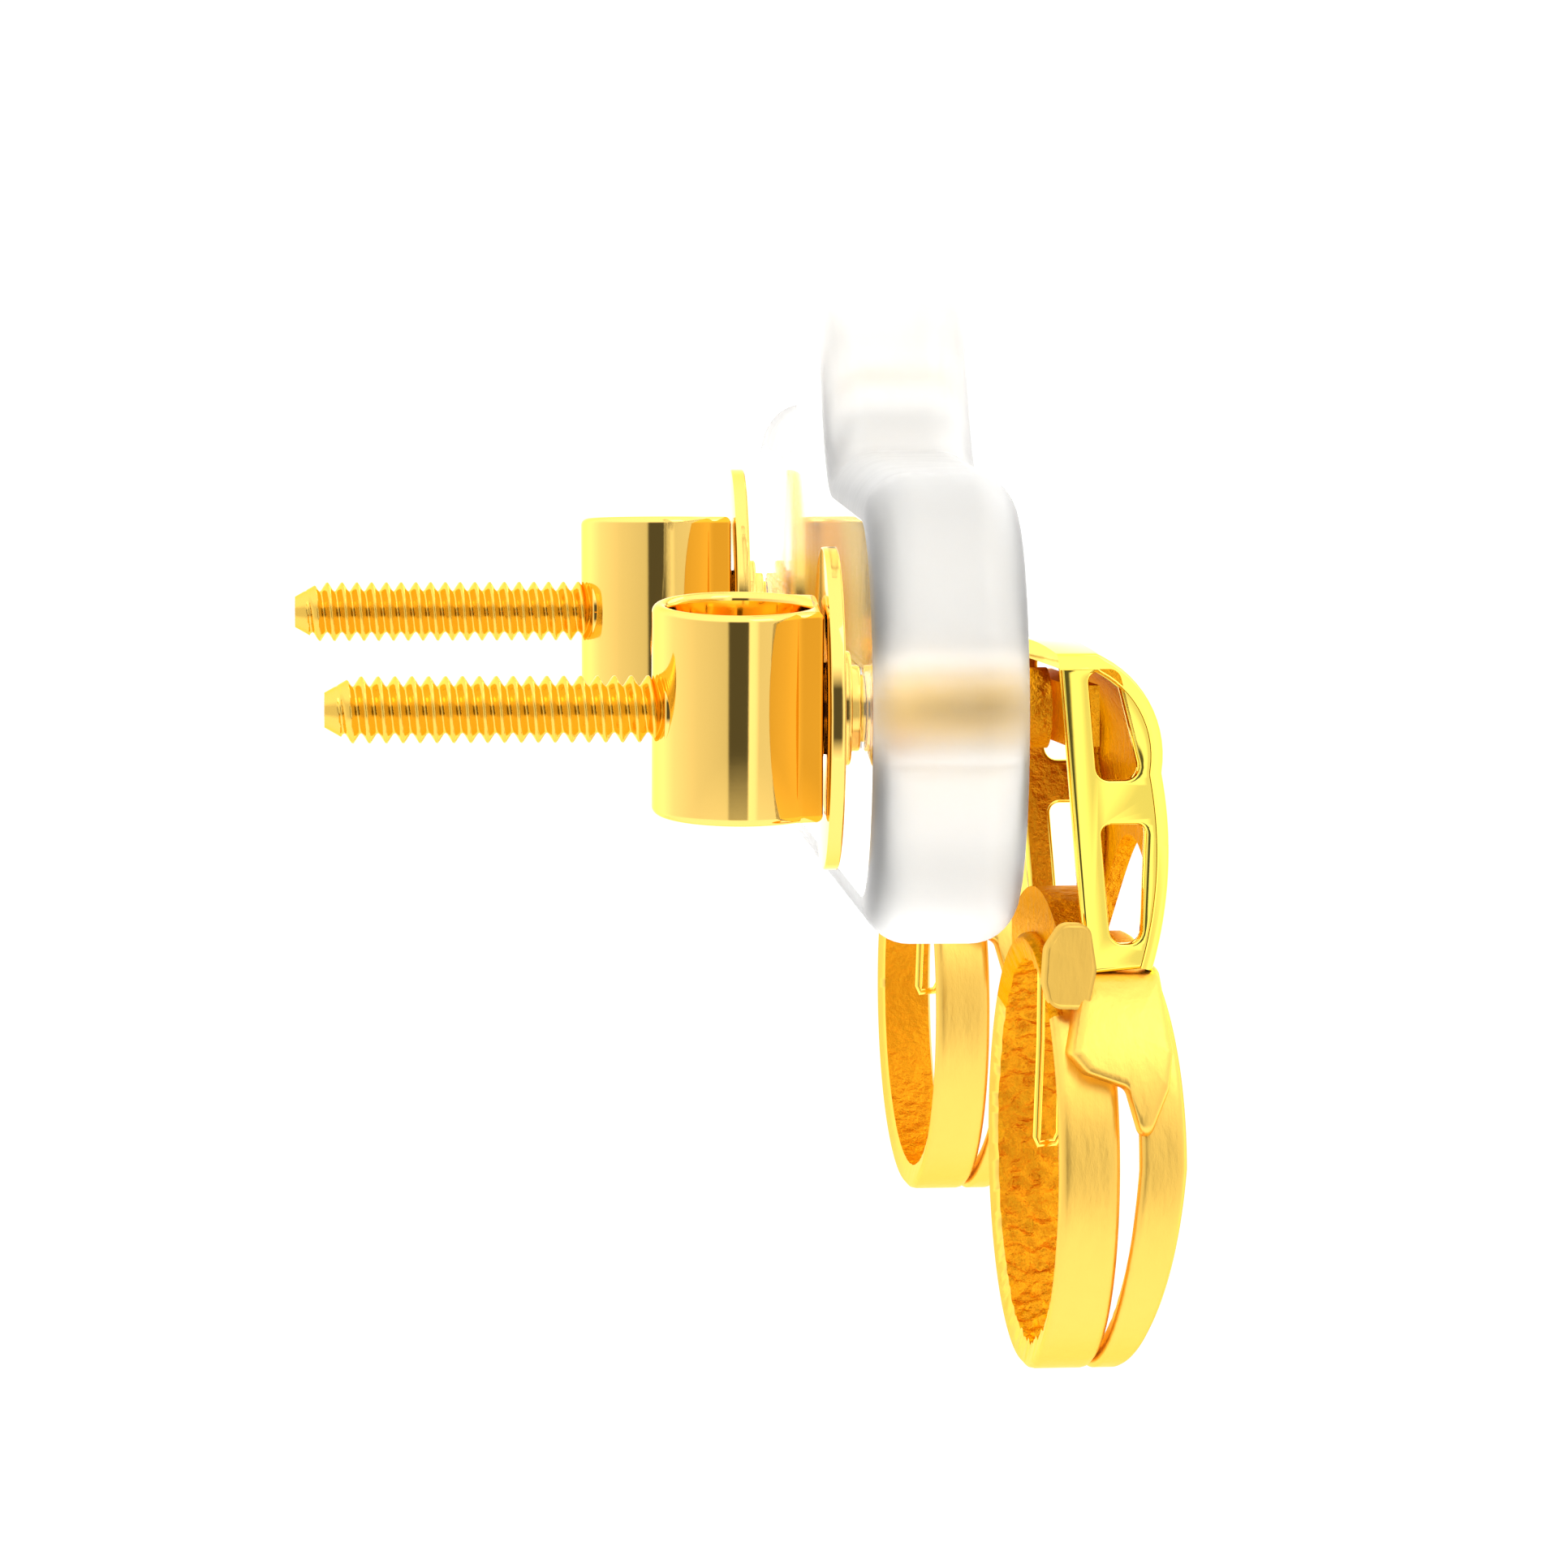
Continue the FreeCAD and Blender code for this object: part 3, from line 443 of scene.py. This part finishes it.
def crown_line(inset, steps):
    """The crown's side line moved in: a flat top, a tight bend and a slow front curve."""
    top = GALLERY_TOP - inset
    line = [np.array([[back_edge(top), top]])]
    stops = [(CROWN_BEND, CROWN_BROW, BEND_RADIUS), (CROWN_BROW, CROWN_TOE, FRONT_RADIUS)]
    for start, end, radius in stops:
        centre = arc_centre(start, end, radius)
        angles = [math.degrees(math.atan2(*(np.array(place) - centre)[::-1])) for place in (start, end)]
        line.append(arc(centre, radius - inset, *angles, steps))
    return np.concatenate(line)


def rounded(corners, radii, steps=6):
    """A closed outline whose corners are arcs, each tangent to the two edges it joins. The
    arc's centre is radius / sin(half the corner) along the corner's middle line, and its
    points turn evenly from the first touch to the last."""
    corners, radii = np.array(corners, float), np.broadcast_to(radii, len(corners))[:, None]
    back = np.roll(corners, 1, 0) - corners
    on = np.roll(corners, -1, 0) - corners
    back, on = (edge / np.linalg.norm(edge, axis=1, keepdims=True) for edge in (back, on))
    half = np.arccos(np.clip((back * on).sum(1, keepdims=True), -1, 1)) / 2
    middle = (back + on) / np.linalg.norm(back + on, axis=1, keepdims=True)
    centre = corners + middle * radii / np.sin(half)
    first = corners + back * radii / np.tan(half) - centre
    last = corners + on * radii / np.tan(half) - centre
    sweep = (np.pi - 2 * half)[:, None]
    share = np.linspace(0, 1, steps + 1)[None, :, None]
    bend = np.sin((1 - share) * sweep) * first[:, None] + np.sin(share * sweep) * last[:, None]
    bend /= np.sin(sweep)
    return (centre[:, None] + bend).reshape(-1, 2)


def window(head, head_width, sill, sill_width):
    """A window's outline, clockwise, with its back edge beside the wall's back rim."""
    low, high = back_edge(sill) + WINDOW_RIM, back_edge(head) + WINDOW_RIM
    corners = [(low, sill), (high, head), (high + head_width, head), (low + sill_width, sill)]
    return rounded(corners, [0.2, 0.14, 0.14, 0.2])


def to_the_post(points, side):
    """Ornament points about the plate's face, turned by the yaw and carried to the post."""
    c, s = math.cos(math.radians(YAW)), math.sin(math.radians(YAW))
    return points @ np.array([[c, s, 0], [-s, c, 0], [0, 0, 1]]) + post_at[side] + (PLATE_FACE, 0, 0)


# Rough cast gold for the inner and hidden faces: its roughness and lumps are the casting's real skin, and
# its darker, deeper orange colour is painted shade.
cast_skin_and_shade_gold = gold("gold_cast_skin_and_painted_shade", (0.97, 0.45, 0.016), (0.76, 0.29, 0.006), 0.38, 1.0, 4200.0,
                 depth=0.00009)
bright_gold = gold("gold_flat_polish", (1.0, 0.82, 0.14), (1.0, 0.76, 0.11), 0.06, 0.03, 2200.0)
foot_line = np.array([[back_edge(GALLERY_FOOT), GALLERY_FOOT]])
wall_line = np.concatenate([crown_line(CROWN_THICK - WALL_LAP, 24), foot_line])[::-1]
wall_loops = [(wall_line, 0.07), (window(**UPPER_WINDOW), 0.05), (window(**LOWER_WINDOW), 0.05)]
for side in SIDES:
    for hand, name in ((-1, "left"), (1, "right")):
        points, faces = cut_sheet(wall_loops, GALLERY_HALF - SIDE_THICK, GALLERY_HALF - WALL_INSET, 4)
        points = points[:, [0, 2, 1]] * (1, hand, 1)
        wall = new_piece(f"{side}_wall_{name}", to_the_post(points, side), faces, [bright_gold, cast_skin_and_shade_gold])
        # The inner faces take the rough cast gold, whose darker orange colour is painted shade inside the
        # gallery.
        raw = [polygon.normal.y * hand < INNER_FACE for polygon in wall.data.polygons]
        wall.data.polygons.foreach_set("material_index", np.array(raw, dtype=np.int32))
        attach(wall, f"{side}_earring")
        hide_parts(f"{side}_gallery_side_{name}")

# ---------------------------------------------------------------- gallery crowns
# One polished strip bent over the walls' top and down their front. Its face is
# slightly domed, its edges are rolled over, and an arch is cut out of its foot.
ARCH_TOP = -1.9
ARCH_HALF = GALLERY_HALF - SIDE_THICK
EDGE_ROLL = 0.3
DOME = 0.10
FLAT_STEPS = 10
ROLL_STEPS = 8
CROWN_COLUMNS = 2 * (FLAT_STEPS + ROLL_STEPS)


def crown_strip():
    """Two half grids that meet on the middle line. Rows follow the crown's side line, and
    columns run out over the face to the rolled edge and back along the flat inside. Below
    the arch's top the middle column is pushed out to the arch, a half circle."""
    bend = crown_line(0, 14)[:16]
    centre = arc_centre(CROWN_BROW, CROWN_TOE, FRONT_RADIUS)
    arch_turn = np.radians(np.linspace(90, 7, 22))
    heights = np.concatenate([np.linspace(CROWN_BROW[1], ARCH_TOP, 8)[1:-1],
                              ARCH_TOP - ARCH_HALF * (1 - np.sin(arch_turn)), [GALLERY_FOOT]])
    front = centre[0] + np.sqrt(FRONT_RADIUS ** 2 - (heights - centre[1]) ** 2)
    line = np.concatenate([bend, np.column_stack([front, heights])])
    slope = np.gradient(line, axis=0)
    normal = np.column_stack([-slope[:, 1], slope[:, 0]]) / np.linalg.norm(slope, axis=1, keepdims=True)
    below = np.clip(ARCH_TOP - line[:, 1], 0, ARCH_HALF)
    arch = np.sqrt(ARCH_HALF ** 2 - (ARCH_HALF - below) ** 2)[:, None]
    roll = np.linspace(0, np.pi / 2, ROLL_STEPS + 1)[1:]
    share = np.concatenate([np.linspace(0, 0.75, FLAT_STEPS), 1 - 0.25 * np.cos(roll)])
    across = arch + (GALLERY_HALF - arch) * share
    edge = np.clip((across - (GALLERY_HALF - EDGE_ROLL)) / EDGE_ROLL, 0, 1)
    drop = DOME * (across / GALLERY_HALF) ** 2 + (EDGE_ROLL - DOME) * (1 - np.sqrt(1 - edge ** 2))
    across = np.concatenate([across, across[:, ::-1]], 1)
    drop = np.concatenate([drop, np.full_like(drop, CROWN_THICK)], 1)
    x = line[:, :1] - normal[:, :1] * drop
    z = line[:, 1:] - normal[:, 1:] * drop
    grid = np.stack([x, across, z], -1)
    rows, columns = grid.shape[:2]
    faces = grid_faces(rows, columns)
    seam = faces[:, 1] % columns == 0
    open_row = (arch[:, 0] > 0)[np.minimum(faces[:, 0] // columns + 1, rows - 1)]
    faces = [tuple(face) for face in faces[~seam | open_row]]
    faces += [tuple(range(columns)), tuple(range((rows - 1) * columns, rows * columns))]
    return grid.reshape(-1, 3), faces


half_points, half_faces = crown_strip()
crown_points = np.concatenate([half_points, half_points * (1, -1, 1)])
crown_faces = half_faces + [tuple(i + len(half_points) for i in face) for face in half_faces]
for side in SIDES:
    crown = new_piece(f"{side}_crown", to_the_post(crown_points, side), crown_faces,
                      [bright_gold, cast_skin_and_shade_gold], 40)
    # The crown's inner faces take the rough cast gold, whose darker orange colour is painted shade under the
    # crown.
    raw = [max(face) % len(half_points) % CROWN_COLUMNS > CROWN_COLUMNS // 2 + 1 and len(face) == 4
           for face in crown_faces]
    crown.data.polygons.foreach_set("material_index", np.array(raw, dtype=np.int32))
    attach(crown, f"{side}_earring")
    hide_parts(f"{side}_gallery_crown")

# ---------------------------------------------------------------- bridge, post cup and saddle
# Plain cast pieces inside the gallery: the bar and cup that hold the post, and
# the block that the hoops hang from. They keep the rough skin of the casting, and
# their darker orange colour is painted shade.
for side in SIDES:
    for node_name in ("back_bridge", "post_seat", "hoop_saddle"):
        node_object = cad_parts[f"{side}_{node_name}"]
        node_object.data.materials.clear()
        node_object.data.materials.append(cast_skin_and_shade_gold)

# ---------------------------------------------------------------- hoops
# Two soldered rings drop from the gallery's foot. The back one is a plain band and
# the front one a crescent that bellies out. Both are satin outside and raw inside,
# and the near pair's bores are the rougher. The raw inside and the back rim's top,
# under the saddle, are darker orange, which is painted shade.
HOOP_RADIUS = 3.25
HOOP_CENTRE = -6.6
HOOP_BACK = 0.1
HOOP_WIDTH = 0.95
HOOP_WALL = 0.4
FRONT_WALL = 0.34
MAIN_LUMPS = 0.055
FRONT_LUMPS = 0.012
FAR_SMOOTHER = 8
FRONT_GAP = 0.25
FRONT_BELLY = 0.74
FRONT_FOOT = 0.36
FIN_GAP = 0.04
EDGE_EASE = 0.09
EASE_SHARE = 0.12
OUTSIDE_STEPS = 15
TOP_ARC = 48
satin_gold = gold("gold_satin", (0.98, 0.63, 0.13), (0.94, 0.57, 0.10), 0.36, 0.5, 5200.0, (1, 1, 0.3),
                  0.00002)


def casting_skin(seed, size, turn, along):
    """Lumps left by the casting: cosine waves round the ring and along it, of falling
    height and rising number, with seeded phases."""
    chance = np.random.default_rng(seed)
    height = np.zeros(np.broadcast_shapes(turn.shape, along.shape))
    for _ in range(60):
        waves = int(chance.integers(8, 90))
        tilt, phase = chance.uniform(-9, 9), chance.uniform(0, 2 * np.pi)
        height += np.cos(waves * turn + tilt * along + phase) / (3 + waves / 12)
    return size * height


def hoop(back_line, front_line, wall, lump, seed):
    """A ring about X, in 360 steps. Its section at each angle is a bar between the back and
    the front line, with its outer corners eased and its inside rough. A turn of 0 is the
    ring's top, and a point is (x, radius sin, centre + radius cos)."""
    turn = np.linspace(0, 2 * np.pi, 360, endpoint=False)[:, None]
    outside = np.linspace(0, 1, OUTSIDE_STEPS)
    inside = outside[::-1][1:-1]
    from_edge = np.minimum(1, np.minimum(outside, 1 - outside) / EASE_SHARE)
    eased = HOOP_RADIUS - EDGE_EASE * (1 - from_edge) ** 2
    share = np.concatenate([0.02 + 0.96 * outside, 0.04 + 0.92 * inside])
    radius = np.concatenate([eased, np.full(len(inside), HOOP_RADIUS - wall)]) + 0 * turn
    back, front = back_line(turn), front_line(turn)
    x = back + (front - back) * share
    rough = np.sin(np.linspace(0, np.pi, len(inside) + 2))[1:-1] ** 0.5
    raw = np.concatenate([np.zeros(len(outside)), rough])
    radius = radius + raw * casting_skin(seed, lump, turn, share * 3)
    return np.stack([x, radius * np.sin(turn), HOOP_CENTRE + radius * np.cos(turn)], -1)


def straight_back(turn):
    """The main hoop's back: straight."""
    return HOOP_BACK + 0 * turn


def straight_front(turn):
    """The main hoop's front: straight."""
    return HOOP_BACK + HOOP_WIDTH + 0 * turn


def finned_line(turn):
    """The near main hoop's front: straight, but a fin of raw metal all but fills the slot on
    the side towards the plate's middle, most at mid height, where the sine is greatest."""
    return HOOP_BACK + HOOP_WIDTH + (FRONT_GAP - FIN_GAP) * np.clip(np.sin(turn), 0, 1) ** 0.6


def slot_line(turn):
    """The slot between the hoops: closed at the foot, its full width from mid height up."""
    height = np.cos(turn)
    return HOOP_BACK + HOOP_WIDTH + FRONT_GAP * np.clip(1 + height, 0, 1)


def belly_line(turn):
    """The crescent's front: drawn in at its top and foot, and widest at mid height, by the
    size of the turn's sine."""
    belly = np.sqrt(np.clip(1 - np.cos(turn) ** 2, 0, 1))
    return slot_line(turn) + FRONT_FOOT + (FRONT_BELLY - FRONT_FOOT) * belly


# back line, front line, wall and the size of the casting's lumps, for each side's hoops
hoops = {
    ("near", "main_hoop"): (straight_back, finned_line, HOOP_WALL, MAIN_LUMPS),
    ("near", "front_hoop"): (slot_line, belly_line, FRONT_WALL, FRONT_LUMPS),
    ("far", "main_hoop"): (straight_back, straight_front, HOOP_WALL, MAIN_LUMPS / FAR_SMOOTHER),
    ("far", "front_hoop"): (slot_line, belly_line, FRONT_WALL, FRONT_LUMPS / FAR_SMOOTHER),
}
for (side, node_name), (back, front, wall, lump) in hoops.items():
    grid = hoop(back, front, wall, lump, 0 if node_name == "main_hoop" else 1)
    faces = grid_faces(*grid.shape[:2], round_rows=True)
    ring = new_piece(f"{side}_{node_name}_ring", to_the_post(grid.reshape(-1, 3), side), faces,
                     [satin_gold, cast_skin_and_shade_gold], 70)
    step, column = np.divmod(faces[:, 0], grid.shape[1])
    bore = (column >= OUTSIDE_STEPS) & (column < grid.shape[1] - 1)
    at_top = np.abs((step + 180) % 360 - 180) < TOP_ARC
    back_rim = (column == grid.shape[1] - 1) | (column < 3)
    # The bore, and the back rim's top where the hoop meets the saddle, take the rough cast gold, whose
    # darker orange colour is painted shade.
    ring.data.polygons.foreach_set("material_index", (bore | at_top & back_rim).astype(np.int32))
    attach(ring, f"{side}_earring")
    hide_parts(f"{side}_{node_name}")

# ---------------------------------------------------------------- shoulders
# Satin cheeks that grow out of the walls' feet and wrap the hoops' flanks. Each
# is a thick leaf, proud of the hoop, that runs down to a tongue.
SHOULDER_CORNERS = [(0.62, -3.70), (1.80, -3.70), (1.86, -4.9), (1.76, -5.45), (1.36, -6.35), (1.12, -5.42),
                    (0.50, -5.2), (0.27, -4.9)]
SHOULDER_ROUNDS = [0.06, 0.06, 0.3, 0.2, 0.12, 0.15, 0.2, 0.1]
SHOULDER_MIDDLE = (1.2, -4.6)
SHOULDER_PROUD = 0.2
SHOULDER_LIFT = 0.27
SHOULDER_SEAT = 0.06
PILLOW = 0.03
FLANK_LEAST = 0.3
RIM_FROM = 0.88


def shoulder_leaf(hand):
    """Rings from the middle out to the outline, rounded down at the rim, and back in under
    the leaf. The skin follows a circle that stands proud of the hoop's and is lifted above
    its centre, so it thins towards the tongue. Its floor is sunk a little in the hoop."""
    outline = rounded(SHOULDER_CORNERS, SHOULDER_ROUNDS, 5)
    rim = np.linspace(0, np.pi / 2, 6)[1:]
    outwards = np.concatenate([np.linspace(0, RIM_FROM, 9), RIM_FROM + (1 - RIM_FROM) * np.sin(rim)])
    rise = np.concatenate([np.ones(9), np.cos(rim)])[:, None]
    x, z = np.moveaxis(SHOULDER_MIDDLE + (outline - SHOULDER_MIDDLE) * outwards[:, None, None], -1, 0)
    above = z - HOOP_CENTRE
    proud = (HOOP_RADIUS + SHOULDER_PROUD) ** 2 - (above - SHOULDER_LIFT) ** 2
    flank = np.sqrt(np.clip(HOOP_RADIUS ** 2 - above ** 2, FLANK_LEAST, None))
    top = np.maximum(np.sqrt(np.clip(proud, FLANK_LEAST, None)), flank + 0.05) + PILLOW
    base = flank - SHOULDER_SEAT
    skin = base + (top - base) * rise
    outer = np.stack([x, hand * skin, z], -1)
    inner = np.stack([x, hand * base, z], -1)[::-1]
    return np.concatenate([outer, inner[1:]])


for side in SIDES:
    for hand, name in ((-1, "left"), (1, "right")):
        grid = shoulder_leaf(hand)
        shoulder = new_piece(f"{side}_shoulder_{name}_leaf", to_the_post(grid.reshape(-1, 3), side),
                             grid_faces(*grid.shape[:2]), [satin_gold], 50)
        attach(shoulder, f"{side}_earring")
        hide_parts(f"{side}_shoulder_{name}")

# ---------------------------------------------------------------- back petals
# A small satin leaf stands behind the foot of the left wall and leans out over
# the hoop. Its rim catches the light.
PETAL_CORNERS = [(0.58, -3.12), (0.66, -3.70), (0.56, -4.18), (0.20, -4.18), (0.13, -3.90), (0.16, -3.42),
                 (0.34, -3.12)]
PETAL_ROUNDS = [0.08, 0.3, 0.10, 0.10, 0.12, 0.2, 0.10]
PETAL_MIDDLE = (0.4, -3.7)
PETAL_LEVELS = (2.3, 2.6)


def bowed(points):
    """A leaf bowed as a shallow bowl: out by 0.5 x squared - 0.45 x + 0.1 z squared, with x
    and z from its middle."""
    x, z = points[:, 0] - PETAL_MIDDLE[0], points[:, 2] - PETAL_MIDDLE[1]
    out = 0.5 * x ** 2 - 0.45 * x + 0.1 * z ** 2
    return np.column_stack([points[:, 0], points[:, 1] + out, points[:, 2]])


for side in SIDES:
    points, faces = cut_sheet([(rounded(PETAL_CORNERS, PETAL_ROUNDS), 0.1)], *PETAL_LEVELS, 5)
    points = bowed(points[:, [0, 2, 1]] * (1, -1, 1))
    petal = new_piece(f"{side}_petal_leaf", to_the_post(points, side), faces, [satin_gold])
    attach(petal, f"{side}_earring")
    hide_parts(f"{side}_back_petal")

# ---------------------------------------------------------------- inner wires
# A thin bright wire, bent to a narrow loop, hangs in the hoop. Its two ends are
# soldered into the top of the bore.
WIRE_RADIUS = 0.06
wire_top = HOOP_CENTRE + HOOP_RADIUS - HOOP_WALL
WIRE_PATH = [(0.40, wire_top + 0.02), (0.385, wire_top - 1.2), (0.33, wire_top - 2.66),
             (0.36, wire_top - 2.76), (0.60, wire_top - 2.74), (0.68, wire_top - 2.60),
             (0.70, wire_top - 1.2), (0.68, wire_top + 0.02)]


def bent_wire(path, radius):
    """A round wire along a flat path: at each point a ring square to the path's direction."""
    path = np.array(path, float)
    ahead = np.gradient(path, axis=0)
    ahead /= np.linalg.norm(ahead, axis=1, keepdims=True)
    turn = np.linspace(0, 2 * np.pi, 16, endpoint=False)
    square = np.column_stack([-ahead[:, 1], ahead[:, 0]])
    sideways = square[:, None] * np.cos(turn)[None, :, None] * radius
    x, z = path[:, :1] + sideways[..., 0], path[:, 1:] + sideways[..., 1]
    return np.stack([x, np.sin(turn) * radius + 0 * x, z], -1)


for side in SIDES:
    grid = bent_wire(WIRE_PATH, WIRE_RADIUS)
    rows, columns = grid.shape[:2]
    faces = [tuple(face) for face in grid_faces(rows, columns)]
    faces += [tuple(range(columns)), tuple(range((rows - 1) * columns, rows * columns))]
    wire = new_piece(f"{side}_wire_loop", to_the_post(grid.reshape(-1, 3), side), faces, [bright_gold], 60)
    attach(wire, f"{side}_earring")
    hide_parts(f"{side}_inner_wire")

# ---------------------------------------------------------------- studio
# A white studio: a pale floor well below the hanging plate, and bright surroundings
# with one darker gap in front, which gives the polished gold its dark stripe.
FLOOR_HALF = 0.55
FLOOR_DROP = 0.35
floor_height = plate_low[2] * MM - FLOOR_DROP
floor_mesh = bpy.data.meshes.new("floor")
floor_corners = [(x * FLOOR_HALF, y * FLOOR_HALF, floor_height)
                 for x, y in ((-1, -1), (1, -1), (1, 1), (-1, 1))]
floor_mesh.from_pydata(floor_corners, [], [(0, 1, 2, 3)])
floor = bpy.data.objects.new("floor", floor_mesh)
bpy.context.scene.collection.objects.link(floor)
floor_material, floor_shader, _, _ = new_material("pale_floor")
floor_shader.inputs["Base Color"].default_value = (0.96, 0.96, 0.96, 1)
floor_shader.inputs["Roughness"].default_value = 0.9
floor_mesh.materials.append(floor_material)

# The azimuth from the front, in degrees, and how bright the studio is there.
BANDS = [(-180, 1.65), (-130, 1.65), (-100, 1.2), (-60, 0.95), (-34, 0.86), (-19, 0.80), (-15.5, 0.10),
         (8.5, 0.10), (11, 1.45), (19, 1.35), (24, 0.90), (40, 0.92), (60, 1.0), (80, 1.2), (100, 1.6),
         (180, 1.65)]
world = bpy.data.worlds.new("studio")
bpy.context.scene.world = world
world.use_nodes = True
node, link = node_maker(world.node_tree), world.node_tree.links.new
direction = node("ShaderNodeTexCoord")
split = node("ShaderNodeSeparateXYZ")
link(direction.outputs["Generated"], split.inputs["Vector"])
toward = node("ShaderNodeMath", operation="MULTIPLY")
toward.inputs[1].default_value = -1
link(split.outputs["Y"], toward.inputs[0])
azimuth = node("ShaderNodeMath", operation="ARCTAN2")
link(split.outputs["X"], azimuth.inputs[0])
link(toward.outputs[0], azimuth.inputs[1])
share = node("ShaderNodeMapRange", From_Min=-math.pi, From_Max=math.pi)
link(azimuth.outputs[0], share.inputs["Value"])
ramp = node("ShaderNodeValToRGB")
link(share.outputs["Result"], ramp.inputs["Fac"])
stops = ramp.color_ramp.elements
while len(stops) > 1:
    stops.remove(stops[-1])
for index, (degrees, light) in enumerate(BANDS):
    stop = stops[0] if index == 0 else stops.new((degrees + 180) / 360)
    stop.position = (degrees + 180) / 360
    stop.color = (light, light, light, 1)
# High above and far below, the bands fade into even white.
steep = node("ShaderNodeMath", operation="ABSOLUTE")
link(split.outputs["Z"], steep.inputs[0])
fade = node("ShaderNodeMapRange", From_Min=0.30, From_Max=0.55)
link(steep.outputs[0], fade.inputs["Value"])
blend = node("ShaderNodeMix", data_type="RGBA", B=(1.5, 1.5, 1.5, 1))
link(fade.outputs["Result"], blend.inputs["Factor"])
link(ramp.outputs["Color"], blend.inputs["A"])
# The backdrop behind the object is one plain white.
seen = node("ShaderNodeLightPath")
plain = node("ShaderNodeMix", data_type="RGBA", B=(1.1, 1.1, 1.1, 1))
link(seen.outputs["Is Camera Ray"], plain.inputs["Factor"])
link(blend.outputs["Result"], plain.inputs["A"])
link(plain.outputs["Result"], world.node_tree.nodes["Background"].inputs["Color"])
LIT_SPOT = Vector((0, 0, -0.028))


def soft_light(name, place, size, power):
    """A square soft light that faces the middle of the ornaments."""
    data = bpy.data.lights.new(name, "AREA")
    data.size = size
    data.energy = power
    lamp = bpy.data.objects.new(name, data)
    bpy.context.scene.collection.objects.link(lamp)
    lamp.location = place
    lamp.rotation_euler = (LIT_SPOT - Vector(place)).to_track_quat("-Z", "Y").to_euler()


soft_light("key_light", (0.10, -0.16, 0.20), 0.12, 0.07)
soft_light("back_light", (0.16, 0.20, 0.14), 0.16, 0.15)

# ---------------------------------------------------------------- camera
# A long lens, a little above the posts and almost in line with the bar.
CAMERA_TURN = math.radians(3.25)
CAMERA_DROP = math.radians(4.02)
CAMERA_REACH = 180.7
CAMERA_ACROSS = 2.29
CAMERA_DOWN = 1.13
FOCAL_LENGTH = 279.5
SENSOR_WIDTH = 36
level = math.cos(CAMERA_DROP)
forward = Vector((math.sin(CAMERA_TURN) * level, math.cos(CAMERA_TURN) * level, -math.sin(CAMERA_DROP)))
sideways = forward.cross(Vector((0, 0, 1))).normalized()
upward = sideways.cross(forward)
lens = bpy.data.cameras.new("camera")
lens.lens = FOCAL_LENGTH
lens.sensor_width = SENSOR_WIDTH
lens.clip_start = 0.005
lens.clip_end = 100
camera = bpy.data.objects.new("camera", lens)
bpy.context.scene.collection.objects.link(camera)
aim = Vector(post_at["near"].tolist())
camera.location = (aim - forward * CAMERA_REACH - sideways * CAMERA_ACROSS - upward * CAMERA_DOWN) * MM
camera.rotation_euler = forward.to_track_quat("-Z", "Y").to_euler()
bpy.context.scene.camera = camera
bpy.context.scene.view_settings.view_transform = "Standard"
